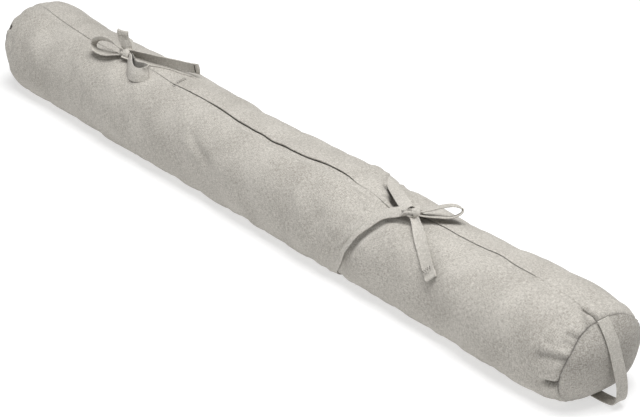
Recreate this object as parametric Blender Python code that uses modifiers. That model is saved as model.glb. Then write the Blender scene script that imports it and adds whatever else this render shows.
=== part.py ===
"""Draught excluder: a long filled linen tube with two tape ties and a hanging loop.

The tube lies along X and rests on z = 0. Its front flank faces -Y, and the end
with the hanging loop is at +X. Sizes are millimetres until a mesh is made. A
place on the tube is (x, angle): the angle starts at 0 on the front flank and
runs over the top (90) to the back flank (180) and under the base (270 or -90).
"""
import math
from collections import namedtuple

import bmesh
import bpy
from mathutils import Vector

MM = 0.001

# The two ends: where the end seam is, which way it faces, how far its panel bulges, how far
# its foot is drawn back along the tube, how far its back flank stands out, how far it sags
End = namedtuple("End", "name seam_x side bulge lean yaw sag")
FAR_END = End("end_panel_far", -445.0, -1, 12.0, 9.0, 0.0, 1.0)
NEAR_END = End("end_panel_near", 435.0, 1, 17.0, 8.0, 4.0, 2.6)

# Driving sizes of the tube
ORIGIN_SHIFT_X = -3.0
LEAN_REACH = 40.0
UPPER_SQUARENESS = 2.15
LOWER_SQUARENESS = 2.6
GIRTH_RADIUS = 47.0

# The end panels are thin domed sheets over the filling
PANEL_THICKNESS = 1.4
DOME_POWER = 2.7
SEAT_SCALE = 0.955
PIECE_GAP = 0.3

# The tapes of the ties and of the hanging loop
TAPE_WIDTH = 12.4
TAPE_THICKNESS = 1.2
ROW_SPACING = 6.0

# How finely the tube is divided
RING_POINTS = 40
SEAM_HALF_ANGLE = 1.6
PLAIN_STEP = 20.0
FINE_STEP = 6.0
FINE_REACH = 38.0
NEAR_TIE_SPAN = (96.0, 216.0)
DOME_RINGS = (0.93, 0.80, 0.60, 0.35, 0.12)
WRAP_STEP_ANGLE = 9.0
KNOT_SEGMENTS = 14
KNOT_RINGS = 9

# Height of the section along the tube: uneven filling, drawn in at the ends and at the tie
Station = namedtuple("Station", "x half_width top bottom")
STATIONS = (
    Station(-445, 45.0, 84.5, 3.0),
    Station(-440, 48.4, 89.6, 0.0),
    Station(-430, 51.4, 93.0, -2.5),
    Station(-415, 53.2, 94.4, -4.6),
    Station(-395, 53.2, 93.0, -5.4),
    Station(-360, 51.9, 89.8, -5.3),
    Station(-300, 52.1, 89.6, -5.4),
    Station(-240, 53.4, 91.5, -5.5),
    Station(-180, 53.2, 91.9, -5.5),
    Station(-100, 51.5, 90.2, -5.4),
    Station(-20, 51.9, 89.5, -5.4),
    Station(60, 52.9, 91.3, -5.5),
    Station(115, 53.2, 93.4, -5.6),
    Station(150, 51.4, 89.0, -5.3),
    Station(185, 50.9, 88.5, -5.3),
    Station(240, 50.4, 87.2, -5.2),
    Station(300, 52.2, 88.3, -5.3),
    Station(350, 54.2, 90.2, -5.4),
    Station(388, 54.0, 90.8, -5.4),
    Station(410, 52.8, 89.6, -4.6),
    Station(423, 51.0, 87.0, -2.6),
    Station(431, 49.2, 84.4, -1.4),
    Station(435, 47.5, 81.6, 2.2),
)

# The lengthwise closure runs along the top: where it lies, and how high its open lip stands
Closure = namedtuple("Closure", "x angle groove lip")
CLOSURE = (
    Closure(-445, 86, 0.0, 0.0),
    Closure(-391, 83, 0.6, 0.0),
    Closure(-320, 76, 0.6, 0.0),
    Closure(-230, 77, 0.6, 0.0),
    Closure(-160, 80, 0.8, 0.4),
    Closure(-140, 82, 1.4, 1.6),
    Closure(-100, 80, 1.4, 1.8),
    Closure(-20, 77, 1.6, 2.0),
    Closure(60, 75, 1.6, 2.0),
    Closure(115, 76, 1.4, 1.6),
    Closure(138, 78, 1.0, 0.6),
    Closure(181, 76, 1.6, 0.4),
    Closure(235, 75, 0.8, 0.0),
    Closure(300, 78, 0.8, 0.0),
    Closure(360, 84, 0.8, 0.0),
    Closure(410, 82, 1.4, 0.8),
    Closure(435, 80, 1.6, 0.8),
)
LIP_SPAN_ANGLE = 26.0

# The near tie runs from the knot down the front, under the base, up the back and over the top
Wrap = namedtuple("Wrap", "angle x sunk roll")
NEAR_WRAP = (
    Wrap(74, 208, -7.2, 25),
    Wrap(68, 195, -4.2, 20),
    Wrap(61, 186, -0.6, 12),
    Wrap(46, 178, 1.6, 6),
    Wrap(31, 170, 2.6, 0),
    Wrap(14, 162, 3.0, 0),
    Wrap(-2, 154, 3.0, 0),
    Wrap(-20, 144, 2.6, 0),
    Wrap(-40, 134, 2.0, 0),
    Wrap(-65, 128, 1.3, 0),
    Wrap(-90, 126, 1.2, 0),
    Wrap(-120, 122, 1.0, 0),
    Wrap(-150, 119, 2.4, 0),
    Wrap(-180, 119, 2.6, 0),
    Wrap(-210, 123, 2.4, 0),
    Wrap(-235, 137, 0.2, 0),
    Wrap(-250, 148, -2.2, 0),
    Wrap(-260, 160, -2.2, -6),
    Wrap(-268, 175, -3.6, -14),
    Wrap(-274, 187, -5.0, -20),
    Wrap(-279, 198, -6.6, -20),
    Wrap(-284, 208, -7.6, -20),
)
GROOVE_FLOOR_HALF = 11.0
GROOVE_REACH = 27.0

# The far tie's strap lies over the top and ends, sewn flat, on the hidden back flank
FAR_STRAP = (
    Wrap(79, -246, -6.5, 0),
    Wrap(90, -256, -3.6, 0),
    Wrap(100, -272, -1.9, 0),
    Wrap(110, -288, -1.5, 0),
    Wrap(120, -302, -1.4, 0),
    Wrap(134, -316, -1.4, 0),
    Wrap(150, -326, -1.4, 0),
    Wrap(166, -331, -1.4, 0),
    Wrap(178, -333, -1.4, 0),
)
# A second strand lies under the long tail and ends, sewn flat, behind the closure
FAR_ROOT = (
    Wrap(76, -245, -6.5, 0),
    Wrap(81, -231, -3.4, 0),
    Wrap(88, -216, -2.2, 0),
    Wrap(97, -196, -1.8, 0),
    Wrap(104, -176, -1.7, 0),
    Wrap(110, -162, -1.6, 0),
    Wrap(115, -152, -1.5, 0),
)

# Short puckers and soft creases: a trough from one place to another on the tube
Crease = namedtuple("Crease", "x angle end_x end_angle width depth")
CREASES = (
    Crease(420, -4, 435, -6, 5.0, 2.4),
    Crease(414, 30, 434, 27, 5.0, 1.6),
    Crease(410, 44, 434, 40, 5.0, 1.8),
    Crease(408, 68, 435, 62, 5.0, 2.2),
    Crease(406, 100, 435, 98, 6.0, 1.6),
    Crease(412, 128, 435, 128, 6.0, 1.6),
    Crease(414, 158, 435, 156, 6.0, 1.6),
    Crease(-422, 38, -445, 42, 6.0, 1.6),
    Crease(-420, 66, -445, 70, 6.0, 1.8),
    Crease(-422, 104, -445, 102, 6.0, 1.8),
    Crease(-420, 134, -445, 130, 6.0, 1.6),
    Crease(-75, 12, -43, -14, 9.0, 1.2),
    Crease(-300, 20, -262, 2, 12.0, 1.0),
    Crease(262, 8, 300, -16, 12.0, 1.0),
    Crease(20, -6, 62, -24, 12.0, 0.9),
)

# Free tapes: the middle of the tape and the direction across it
TapeRow = namedtuple("TapeRow", "x y z across_x across_y across_z")
NEAR_LOOP = (
    TapeRow(209, -16, 95.0, 0.60, -0.75, 0.10),
    TapeRow(217, -8, 96.4, 0.60, -0.75, 0.10),
    TapeRow(222, -1, 98.6, 0.55, -0.78, 0.08),
    TapeRow(227, 7, 98.8, 0.50, -0.82, 0.05),
    TapeRow(233, 15, 98.4, 0.50, -0.84, 0.02),
    TapeRow(239, 21, 96.8, 0.52, -0.84, 0.00),
    TapeRow(241, 22, 94.2, 0.52, -0.84, 0.00),
    TapeRow(239, 18, 92.0, 0.52, -0.84, 0.00),
    TapeRow(234, 10, 90.6, 0.55, -0.82, -0.05),
    TapeRow(228, 2, 90.6, 0.58, -0.80, -0.06),
    TapeRow(220, -6, 91.6, 0.60, -0.78, -0.06),
    TapeRow(211, -14, 93.6, 0.60, -0.75, 0.00),
)
NEAR_TAIL = (
    TapeRow(209, -17, 93.0, 0.50, 0.60, 0.60),
    TapeRow(216, -19, 90.2, 0.68, 0.58, 0.44),
    TapeRow(226, -24, 88.0, 0.70, 0.56, 0.42),
    TapeRow(239, -31, 84.0, 0.68, 0.56, 0.46),
    TapeRow(251, -38, 78.4, 0.66, 0.56, 0.50),
    TapeRow(262, -44, 71.6, 0.64, 0.56, 0.53),
    TapeRow(270, -48, 66.0, 0.62, 0.56, 0.55),
    TapeRow(276, -50.5, 61.6, 0.62, 0.56, 0.55),
)
FAR_LOOP = (
    TapeRow(-246, -13, 97.5, 0.30, -0.94, 0.00),
    TapeRow(-254, -16, 99.4, 0.26, -0.96, 0.00),
    TapeRow(-263, -18, 103.6, 0.24, -0.97, 0.02),
    TapeRow(-275, -20, 106.4, 0.22, -0.97, 0.10),
    TapeRow(-285, -21, 103.8, 0.20, -0.97, 0.16),
    TapeRow(-289, -22, 98.4, 0.20, -0.97, 0.18),
    TapeRow(-286, -22, 93.6, 0.20, -0.97, 0.10),
    TapeRow(-277, -21, 91.8, 0.20, -0.96, -0.12),
    TapeRow(-267, -19, 92.4, 0.22, -0.95, -0.16),
    TapeRow(-256, -16, 94.0, 0.26, -0.95, -0.12),
    TapeRow(-246, -13, 95.8, 0.30, -0.94, 0.00),
)
FAR_SMALL_LOOP = (
    TapeRow(-242, -13, 97.4, 0.10, 0.10, 0.99),
    TapeRow(-234, -16, 96.6, 0.20, 0.30, 0.92),
    TapeRow(-224, -22, 93.6, 0.10, 0.55, 0.82),
    TapeRow(-212, -27, 92.0, -0.10, 0.60, 0.78),
    TapeRow(-201, -25, 93.4, -0.40, 0.45, 0.80),
    TapeRow(-196, -18, 96.0, -0.55, 0.10, 0.83),
    TapeRow(-201, -11, 98.4, -0.35, -0.20, 0.91),
    TapeRow(-212, -7, 98.8, -0.10, -0.25, 0.96),
    TapeRow(-228, -9, 98.6, 0.00, -0.10, 0.99),
    TapeRow(-242, -13, 97.8, 0.10, 0.05, 0.99),
)
FAR_TAB = (
    TapeRow(-245, -12, 98.5, 0.80, 0.60, 0.10),
    TapeRow(-246, -11, 104.5, 0.74, 0.66, 0.10),
    TapeRow(-248, -10, 111.0, 0.66, 0.74, 0.05),
    TapeRow(-251, -9, 117.0, 0.62, 0.78, 0.00),
    TapeRow(-253, -8, 122.0, 0.60, 0.80, 0.00),
)
FAR_TAIL = (
    TapeRow(-244, -12, 97.8, 0.20, -0.50, 0.84),
    TapeRow(-234, -9, 100.0, 0.10, -0.42, 0.88),
    TapeRow(-221, -4, 101.2, 0.00, -0.25, 0.94),
    TapeRow(-205, 2, 101.8, -0.08, 0.00, 0.97),
    TapeRow(-189, 8, 101.4, -0.12, 0.15, 0.97),
    TapeRow(-176, 13, 100.4, -0.14, 0.24, 0.95),
    TapeRow(-158, 19, 98.6, -0.14, 0.26, 0.94),
)
HANGING_LOOP = (
    TapeRow(437.9, -4, 82.6, 0.04, 1.0, 0.0),
    TapeRow(440.9, -4, 79.5, 0.04, 1.0, 0.0),
    TapeRow(445.5, -4, 73.9, 0.04, 1.0, 0.0),
    TapeRow(450.4, -3.5, 65.1, 0.04, 1.0, 0.0),
    TapeRow(454.4, -2.5, 53.4, 0.04, 1.0, 0.0),
    TapeRow(457.6, -1, 41.8, 0.04, 1.0, 0.0),
    TapeRow(459.8, 0.5, 30.6, 0.04, 1.0, 0.0),
    TapeRow(460.4, 2, 19.0, 0.04, 1.0, 0.0),
    TapeRow(458.4, 3, 9.6, 0.04, 1.0, 0.0),
    TapeRow(453.8, 4, 4.2, 0.04, 1.0, 0.0),
    TapeRow(447.0, 4.5, 2.1, 0.04, 1.0, 0.0),
    TapeRow(438.0, 5, 1.1, 0.04, 1.0, 0.0),
    TapeRow(428.6, 5, 0.8, 0.04, 1.0, 0.0),
)

# The knots: middle, half sizes and turn about Z
Knot = namedtuple("Knot", "x y z half_length half_depth half_height turn")
NEAR_KNOT = Knot(210.5, -15.5, 94.6, 9.0, 6.5, 5.2, 50)
FAR_KNOT = Knot(-245.0, -13.0, 97.0, 7.5, 6.0, 5.4, 20)

# Colours of the linen, the slightly paler end panels and the tapes
BODY_COLOUR = (0.43, 0.40, 0.35, 1.0)
PANEL_COLOUR = (0.40, 0.37, 0.32, 1.0)
TAPE_COLOUR = (0.47, 0.44, 0.38, 1.0)
LINEN_ROUGHNESS = 0.92


def smooth_between(rows, place, key, column):
    """Value of a named column at a place along the key column, smooth through the rows."""
    keys = [getattr(row, key) for row in rows]
    if keys[0] > keys[-1]:
        rows = rows[::-1]
        keys = keys[::-1]
    if place <= keys[0]:
        return getattr(rows[0], column)
    if place >= keys[-1]:
        return getattr(rows[-1], column)
    index = max(i for i, value in enumerate(keys) if value <= place)
    values = [getattr(row, column) for row in rows]

    def slope(i):
        if i == 0 or i == len(keys) - 1:
            return 0.0
        return (values[i + 1] - values[i - 1]) / (keys[i + 1] - keys[i - 1])

    span = keys[index + 1] - keys[index]
    t = (place - keys[index]) / span
    start_weight = 2 * t ** 3 - 3 * t ** 2 + 1
    end_weight = 3 * t ** 2 - 2 * t ** 3
    start_pull = (t ** 3 - 2 * t ** 2 + t) * span
    end_pull = (t ** 3 - t ** 2) * span
    value = start_weight * values[index] + end_weight * values[index + 1]
    return value + start_pull * slope(index) + end_pull * slope(index + 1)


def rounded_power(value, squareness):
    """Sign-keeping power that squares a circle slightly."""
    return math.copysign(abs(value) ** (2.0 / squareness), value)


def lean(x, y, z):
    """How far the low and front parts of the nearer of the two ends are drawn back along it."""
    end = NEAR_END if x > 0 else FAR_END
    share = soft_step(1.0 - end.side * (end.seam_x - x) / LEAN_REACH)
    depth_below_top = 1.0 - z / smooth_between(STATIONS, x, "x", "top")
    half_width = smooth_between(STATIONS, x, "x", "half_width")
    back_share = (y / half_width + 1.0) / 2
    return end.side * share * (end.lean * depth_below_top ** 2 - end.yaw * back_share)


def plain_point(x, angle):
    """Point on the smooth filled tube, flattened where it rests on the ground."""
    half_width = smooth_between(STATIONS, x, "x", "half_width")
    top = smooth_between(STATIONS, x, "x", "top")
    bottom = smooth_between(STATIONS, x, "x", "bottom")
    middle = (top + bottom) / 2
    half_height = (top - bottom) / 2
    across = math.cos(math.radians(angle))
    upward = math.sin(math.radians(angle))
    squareness = UPPER_SQUARENESS if upward > 0 else LOWER_SQUARENESS
    y = -half_width * rounded_power(across, squareness)
    z = middle + half_height * rounded_power(upward, squareness)
    return Vector((x - lean(x, y, z), y, max(z, 0.0)))


def outward(x, angle):
    """Outward direction of the smooth tube at a place."""
    step_angle = 1.0
    step_x = 1.0
    around = plain_point(x, angle + step_angle) - plain_point(x, angle - step_angle)
    along = plain_point(x + step_x, angle) - plain_point(x - step_x, angle)
    return along.cross(around).normalized()


def soft_step(value):
    """0 to 1 ramp with level ends."""
    value = min(max(value, 0.0), 1.0)
    return value * value * (3 - 2 * value)


def groove_depth(x, angle):
    """Depth of the trough that the near tie presses into the tube."""
    wrapped = angle
    while wrapped > NEAR_WRAP[0].angle:
        wrapped -= 360
    depth = 0.0
    for turn in (wrapped, wrapped + 360):
        if NEAR_WRAP[-1].angle <= turn <= NEAR_WRAP[0].angle:
            away = abs(x - smooth_between(NEAR_WRAP, turn, "angle", "x"))
            sunk = smooth_between(NEAR_WRAP, turn, "angle", "sunk")
            floor = max(sunk + TAPE_THICKNESS / 2 + 4 * PIECE_GAP, 0.0)
            fade = (away - GROOVE_FLOOR_HALF) / (GROOVE_REACH - GROOVE_FLOOR_HALF)
            depth = max(depth, floor * (1.0 - soft_step(fade)))
    return depth


def crease_depth(x, angle):
    """Depth of the puckers and soft creases at a place."""
    depth = 0.0
    degrees_to_mm = math.radians(1.0) * GIRTH_RADIUS
    for crease in CREASES:
        run = Vector((crease.end_x - crease.x, (crease.end_angle - crease.angle) * degrees_to_mm))
        here = Vector((x - crease.x, (angle - crease.angle) * degrees_to_mm))
        share = min(max(here.dot(run) / run.length_squared, 0.0), 1.0)
        away = (here - run * share).length
        depth += crease.depth * math.exp(-(away / crease.width) ** 2)
    return depth


def closure_height(x, offset):
    """Rise of the closure's lip, or its groove as a negative rise, at an angle past the closure."""
    groove = smooth_between(CLOSURE, x, "x", "groove")
    lip = max(smooth_between(CLOSURE, x, "x", "lip"), 0.0)
    if offset == 0:
        return -groove
    if offset > 0:
        return lip * (1.0 - soft_step((offset - SEAM_HALF_ANGLE) / LIP_SPAN_ANGLE))
    return 0.0


def tube_point(x, offset):
    """Point of the finished tube at an angle measured from the closure."""
    angle = smooth_between(CLOSURE, x, "x", "angle") + offset
    folded = angle if angle <= 270 else angle - 360
    rise = closure_height(x, offset) - groove_depth(x, folded) - crease_depth(x, folded)
    point = plain_point(x, angle) + outward(x, angle) * rise
    point.x = x - lean(x, point.y, point.z)
    return point


def ring_offsets():
    """Angles from the closure: a close pair beside it, the rest evenly spread."""
    spread = RING_POINTS - 3
    sweep = 360.0 - 2 * SEAM_HALF_ANGLE
    offsets = [0.0, SEAM_HALF_ANGLE]
    for index in range(1, spread + 1):
        offsets.append(SEAM_HALF_ANGLE + sweep * index / (spread + 1))
    offsets.append(360.0 - SEAM_HALF_ANGLE)
    return offsets


def signed_offset(offset):
    """An angle just before the closure counts as negative, so that the lip stays behind it."""
    return offset - 360.0 if offset > 180.0 + SEAM_HALF_ANGLE else offset


def ring_places():
    """Places along the tube of its rings: close at the ends and at the near tie."""
    places = [FAR_END.seam_x]
    last = NEAR_END.seam_x
    fine_spans = ((FAR_END.seam_x, FAR_END.seam_x + FINE_REACH), NEAR_TIE_SPAN,
                  (last - FINE_REACH, last))
    while places[-1] < last:
        here = places[-1]
        fine = any(start <= here < end for start, end in fine_spans)
        step = FINE_STEP if fine else PLAIN_STEP
        upcoming = [start for start, end in fine_spans if here < start < here + step]
        places.append(upcoming[0] if upcoming else here + step)
    places = [place for place in places if place < last - FINE_STEP / 2]
    places.append(last)
    return places


def end_ring(end, scale, push):
    """The end seam's ring made smaller about its middle and pushed out along the tube."""
    middle = (smooth_between(STATIONS, end.seam_x, "x", "top")
              + smooth_between(STATIONS, end.seam_x, "x", "bottom")) / 2
    axis = Vector((end.seam_x, 0.0, middle))
    closure_angle = smooth_between(CLOSURE, end.seam_x, "x", "angle")
    ring = []
    for offset in ring_offsets():
        rim = plain_point(end.seam_x, closure_angle + offset)
        point = axis + (rim - axis) * scale
        point.z = max(point.z - end.sag * (1.0 - scale), 0.0)
        point.x = end.seam_x + end.side * push - lean(end.seam_x, point.y, point.z)
        ring.append(point)
    return ring


def dome_ring(end, scale, inset):
    """Ring of the domed end, or of a dome that lies inset under it."""
    push = end.bulge * (1.0 - scale ** DOME_POWER) - inset
    return end_ring(end, scale - inset / GIRTH_RADIUS, push)


def new_mesh_object(name, bm):
    """Named object from a bmesh, in metres."""
    bmesh.ops.recalc_face_normals(bm, faces=bm.faces)
    mesh = bpy.data.meshes.new(name)
    bm.to_mesh(mesh)
    bm.free()
    thing = bpy.data.objects.new(name, mesh)
    mesh.shade_smooth()
    return thing


def loft(name, rings):
    """Closed solid through rings of equal length, with both end rings capped."""
    bm = bmesh.new()
    made = []
    for ring in rings:
        made.append([bm.verts.new(point * MM) for point in ring])
    count = len(rings[0])
    for lower, upper in zip(made, made[1:]):
        for index in range(count):
            after = (index + 1) % count
            bm.faces.new((lower[index], lower[after], upper[after], upper[index]))
    bm.faces.new(made[0][::-1])
    bm.faces.new(made[-1])
    return new_mesh_object(name, bm)


def linen(name, colour):
    """Plain rough cloth material."""
    material = bpy.data.materials.new(name)
    material.use_nodes = True
    shader = material.node_tree.nodes["Principled BSDF"]
    shader.inputs["Base Color"].default_value = colour
    shader.inputs["Roughness"].default_value = LINEN_ROUGHNESS
    shader.inputs["Metallic"].default_value = 0.0
    return material


def build_body():
    """The filled tube, with a seat and a domed filling under the panel at both ends."""
    inset = PANEL_THICKNESS + PIECE_GAP
    rings = [dome_ring(FAR_END, scale, inset) for scale in reversed(DOME_RINGS)]
    rings.append(end_ring(FAR_END, SEAT_SCALE, 0.0))
    for place in ring_places():
        rings.append([tube_point(place, signed_offset(offset)) for offset in ring_offsets()])
    rings.append(end_ring(NEAR_END, SEAT_SCALE, 0.0))
    rings.extend(dome_ring(NEAR_END, scale, inset) for scale in DOME_RINGS)
    return loft("body", rings)


def build_end_panel(end):
    """Domed sheet sewn round one end: its inner rings, its rim and its outer rings."""
    inner = [dome_ring(end, scale, PANEL_THICKNESS) for scale in reversed(DOME_RINGS)]
    inner_rim = end_ring(end, 1.0 - PANEL_THICKNESS / GIRTH_RADIUS, PIECE_GAP)
    outer_rim = end_ring(end, 1.0, PIECE_GAP)
    outer = [dome_ring(end, scale, 0.0) for scale in DOME_RINGS]
    return loft(end.name, inner + [inner_rim, outer_rim] + outer)


def smooth_path(rows):
    """Points and across directions at even steps on a smooth curve through the tape's rows."""
    middles = [Vector((row.x, row.y, row.z)) for row in rows]
    acrosses = [Vector((row.across_x, row.across_y, row.across_z)) for row in rows]
    path = []
    for index in range(len(rows) - 1):
        before = middles[max(index - 1, 0)]
        start = middles[index]
        end = middles[index + 1]
        after = middles[min(index + 2, len(rows) - 1)]
        steps = max(1, round((end - start).length / ROW_SPACING))
        for step in range(steps):
            t = step / steps
            pull_start = (end - before) / 2
            pull_end = (after - start) / 2
            point = (start * (2 * t ** 3 - 3 * t ** 2 + 1) + pull_start * (t ** 3 - 2 * t ** 2 + t)
                     + end * (3 * t ** 2 - 2 * t ** 3) + pull_end * (t ** 3 - t ** 2))
            path.append((point, acrosses[index].lerp(acrosses[index + 1], t)))
    path.append((middles[-1], acrosses[-1]))
    return path


def tape(name, rows):
    """Flat tape: an open strip along the path, thickened evenly both ways."""
    path = smooth_path(rows)
    bm = bmesh.new()
    edges = []
    for index, (middle, across) in enumerate(path):
        ahead = path[min(index + 1, len(path) - 1)][0]
        behind = path[max(index - 1, 0)][0]
        along = (ahead - behind).normalized()
        square_across = (across - along * across.dot(along)).normalized() * TAPE_WIDTH / 2
        left = bm.verts.new((middle - square_across) * MM)
        centre = bm.verts.new(middle * MM)
        right = bm.verts.new((middle + square_across) * MM)
        edges.append((left, centre, right))
    for first, second in zip(edges, edges[1:]):
        bm.faces.new((first[0], first[1], second[1], second[0]))
        bm.faces.new((first[1], first[2], second[2], second[1]))
    thing = new_mesh_object(name, bm)
    bpy.context.scene.collection.objects.link(thing)
    thicken = thing.modifiers.new("thickness", "SOLIDIFY")
    thicken.thickness = TAPE_THICKNESS * MM
    thicken.offset = 0.0
    thicken.use_even_offset = True
    return bake(thing)


def wrap_rows(wraps):
    """Tape rows that follow the tube's surface, sunk into it or lifted off it and rolled."""
    places = []
    for wrap in wraps:
        normal = outward(wrap.x, wrap.angle)
        places.append((plain_point(wrap.x, wrap.angle) - normal * wrap.sunk, normal, wrap.roll))
    rows = []
    for index, (middle, normal, roll) in enumerate(places):
        ahead = places[min(index + 1, len(places) - 1)][0]
        behind = places[max(index - 1, 0)][0]
        along = (ahead - behind).normalized()
        side = along.cross(normal).normalized()
        turn = math.radians(roll)
        across = side * math.cos(turn) + normal * math.sin(turn)
        rows.append(TapeRow(*middle, *across))
    return rows


def dense_wraps(wraps):
    """More rows between the given ones, so that the tape bends with the tube."""
    start = wraps[0].angle
    end = wraps[-1].angle
    count = max(2, round(abs(end - start) / WRAP_STEP_ANGLE))
    dense = []
    for index in range(count + 1):
        angle = start + (end - start) * index / count
        values = [smooth_between(wraps, angle, "angle", key) for key in ("x", "sunk", "roll")]
        dense.append(Wrap(angle, *values))
    return dense


def bake(thing):
    """The object with its modifiers applied, in a mesh of its own."""
    graph = bpy.context.evaluated_depsgraph_get()
    mesh = bpy.data.meshes.new_from_object(thing.evaluated_get(graph))
    bpy.context.scene.collection.objects.unlink(thing)
    thing.modifiers.clear()
    old = thing.data
    thing.data = mesh
    bpy.data.meshes.remove(old)
    return thing


def knot_lump(name, knot):
    """Rounded lump of the crossed and pulled tape."""
    bm = bmesh.new()
    bmesh.ops.create_uvsphere(bm, u_segments=KNOT_SEGMENTS, v_segments=KNOT_RINGS, radius=1.0)
    bmesh.ops.scale(bm, vec=Vector((knot.half_length, knot.half_depth, knot.half_height)) * MM,
                    verts=bm.verts)
    thing = new_mesh_object(name, bm)
    turn = math.radians(knot.turn)
    for vertex in thing.data.vertices:
        x, y, z = vertex.co
        vertex.co = Vector((x * math.cos(turn) - y * math.sin(turn) + knot.x * MM,
                            x * math.sin(turn) + y * math.cos(turn) + knot.y * MM,
                            z + knot.z * MM))
    return thing


def fuse(name, base, others):
    """One solid from touching pieces of the same tape."""
    scene_objects = bpy.context.scene.collection.objects
    for other in others:
        scene_objects.link(base)
        scene_objects.link(other)
        union = base.modifiers.new("fuse", "BOOLEAN")
        union.operation = "UNION"
        union.use_self = True
        union.object = other
        base = bake(base)
        scene_objects.unlink(other)
        bpy.data.objects.remove(other)
    base.name = name
    return base


def build_near_tie():
    """One tape round the tube, knotted on top, with a single loop and one hanging tail."""
    strap = tape("strap", wrap_rows(dense_wraps(NEAR_WRAP)))
    loop = tape("loop", NEAR_LOOP)
    tail = tape("tail", NEAR_TAIL)
    return fuse("near_tie", knot_lump("knot", NEAR_KNOT), [strap, loop, tail])


def build_far_tie():
    """Bow on top: two loops, an upright tab, a long tail and two sewn-down strands."""
    pieces = [
        tape("strap", wrap_rows(dense_wraps(FAR_STRAP))),
        tape("root", wrap_rows(FAR_ROOT)),
        tape("loop", FAR_LOOP),
        tape("small_loop", FAR_SMALL_LOOP),
        tape("tab", FAR_TAB),
        tape("tail", FAR_TAIL),
    ]
    return fuse("far_tie", knot_lump("knot", FAR_KNOT), pieces)


def clear_scene():
    """Remove whatever the scene holds."""
    for thing in list(bpy.data.objects):
        bpy.data.objects.remove(thing)


def main():
    """Build every piece into one collection under a shared root."""
    clear_scene()
    collection = bpy.data.collections.new("draught_excluder")
    bpy.context.scene.collection.children.link(collection)
    root = bpy.data.objects.new("draught_excluder_root", None)
    root.location = (ORIGIN_SHIFT_X * MM, 0.0, 0.0)
    collection.objects.link(root)
    body_linen = linen("body_linen", BODY_COLOUR)
    panel_linen = linen("panel_linen", PANEL_COLOUR)
    tape_linen = linen("tape_linen", TAPE_COLOUR)
    pieces = (
        (build_body(), body_linen),
        (build_end_panel(NEAR_END), panel_linen),
        (build_end_panel(FAR_END), panel_linen),
        (tape("hanging_loop", HANGING_LOOP), tape_linen),
        (build_near_tie(), tape_linen),
        (build_far_tie(), tape_linen),
    )
    for thing, material in pieces:
        thing.data.materials.clear()
        thing.data.materials.append(material)
        thing.parent = root
        collection.objects.link(thing)


main()
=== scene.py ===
"""Looks of a linen draught excluder: a filled tube with a lapped closure along the top,
two round end panels, a tape loop to hang it by and two knotted tape ties.

The tube lies along X on z = 0, its front flank faces -Y and the hanging loop is at +X.
Tables are in millimetres along the tube; a place on the tube is (x, angle), the angle
starting at 0 on the front flank and running over the top (90) to the back flank (180).
"""

import logging
import math
from dataclasses import dataclass
from enum import Enum
from typing import Callable, Iterable, Sequence

import bpy
import numpy as np
from mathutils import Matrix, Vector, noise


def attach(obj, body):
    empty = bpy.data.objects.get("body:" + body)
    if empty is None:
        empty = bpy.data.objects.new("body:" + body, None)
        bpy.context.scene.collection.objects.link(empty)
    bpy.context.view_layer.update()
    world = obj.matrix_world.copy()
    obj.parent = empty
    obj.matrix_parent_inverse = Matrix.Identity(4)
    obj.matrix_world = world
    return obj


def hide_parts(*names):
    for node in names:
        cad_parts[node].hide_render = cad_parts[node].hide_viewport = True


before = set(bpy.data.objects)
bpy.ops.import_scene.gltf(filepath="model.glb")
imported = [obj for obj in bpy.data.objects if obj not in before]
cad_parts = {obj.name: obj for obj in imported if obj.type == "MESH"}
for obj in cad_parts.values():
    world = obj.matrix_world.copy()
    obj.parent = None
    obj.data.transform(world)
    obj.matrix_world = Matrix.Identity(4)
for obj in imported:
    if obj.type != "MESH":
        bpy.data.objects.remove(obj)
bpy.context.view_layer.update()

LOG = logging.getLogger("draught_excluder")
MM = 0.001
SHIFT_X = -3.0
ROOT = "root"
WEAVE_MAP = "weave"
# Point attribute carrying painted shade: it darkens the cloth's colour in folds, seams and hollows
PAINTED_SHADE = "fold"

Array = np.ndarray


class Slot(Enum):
    """Material slots of the record."""

    BODY = "body_linen"
    PANEL = "panel_linen"
    TAPE = "tape_linen"


class Held(Enum):
    """How a sheet of cloth is held."""

    LAID = "laid"
    STRETCHED = "stretched"
    HUNG = "hung"
    FOLDED = "folded"


def soft_step(value: Array) -> Array:
    """0 to 1 ramp with level ends."""
    value = np.clip(value, 0.0, 1.0)
    return value * value * (3 - 2 * value)


def unit(vectors: Array) -> Array:
    """Vectors with length 1."""
    return vectors / np.maximum(np.linalg.norm(vectors, axis=-1, keepdims=True), 1e-9)


def field_noise(first: Array, second: Array, scale: float, seed: float) -> Array:
    """Smooth noise from -1 to 1 over two coordinates.

    Args:
        first: first coordinate, mm.
        second: second coordinate, mm.
        scale: size of the patches, mm.
        seed: shifts to another part of the noise.

    Returns:
        One value for each pair of coordinates.
    """
    first, second = np.broadcast_arrays(first, second)
    flat = zip(first.ravel() / scale, second.ravel() / scale)
    values = [noise.noise((a, b, seed)) for a, b in flat]
    return np.array(values).reshape(first.shape)


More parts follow.
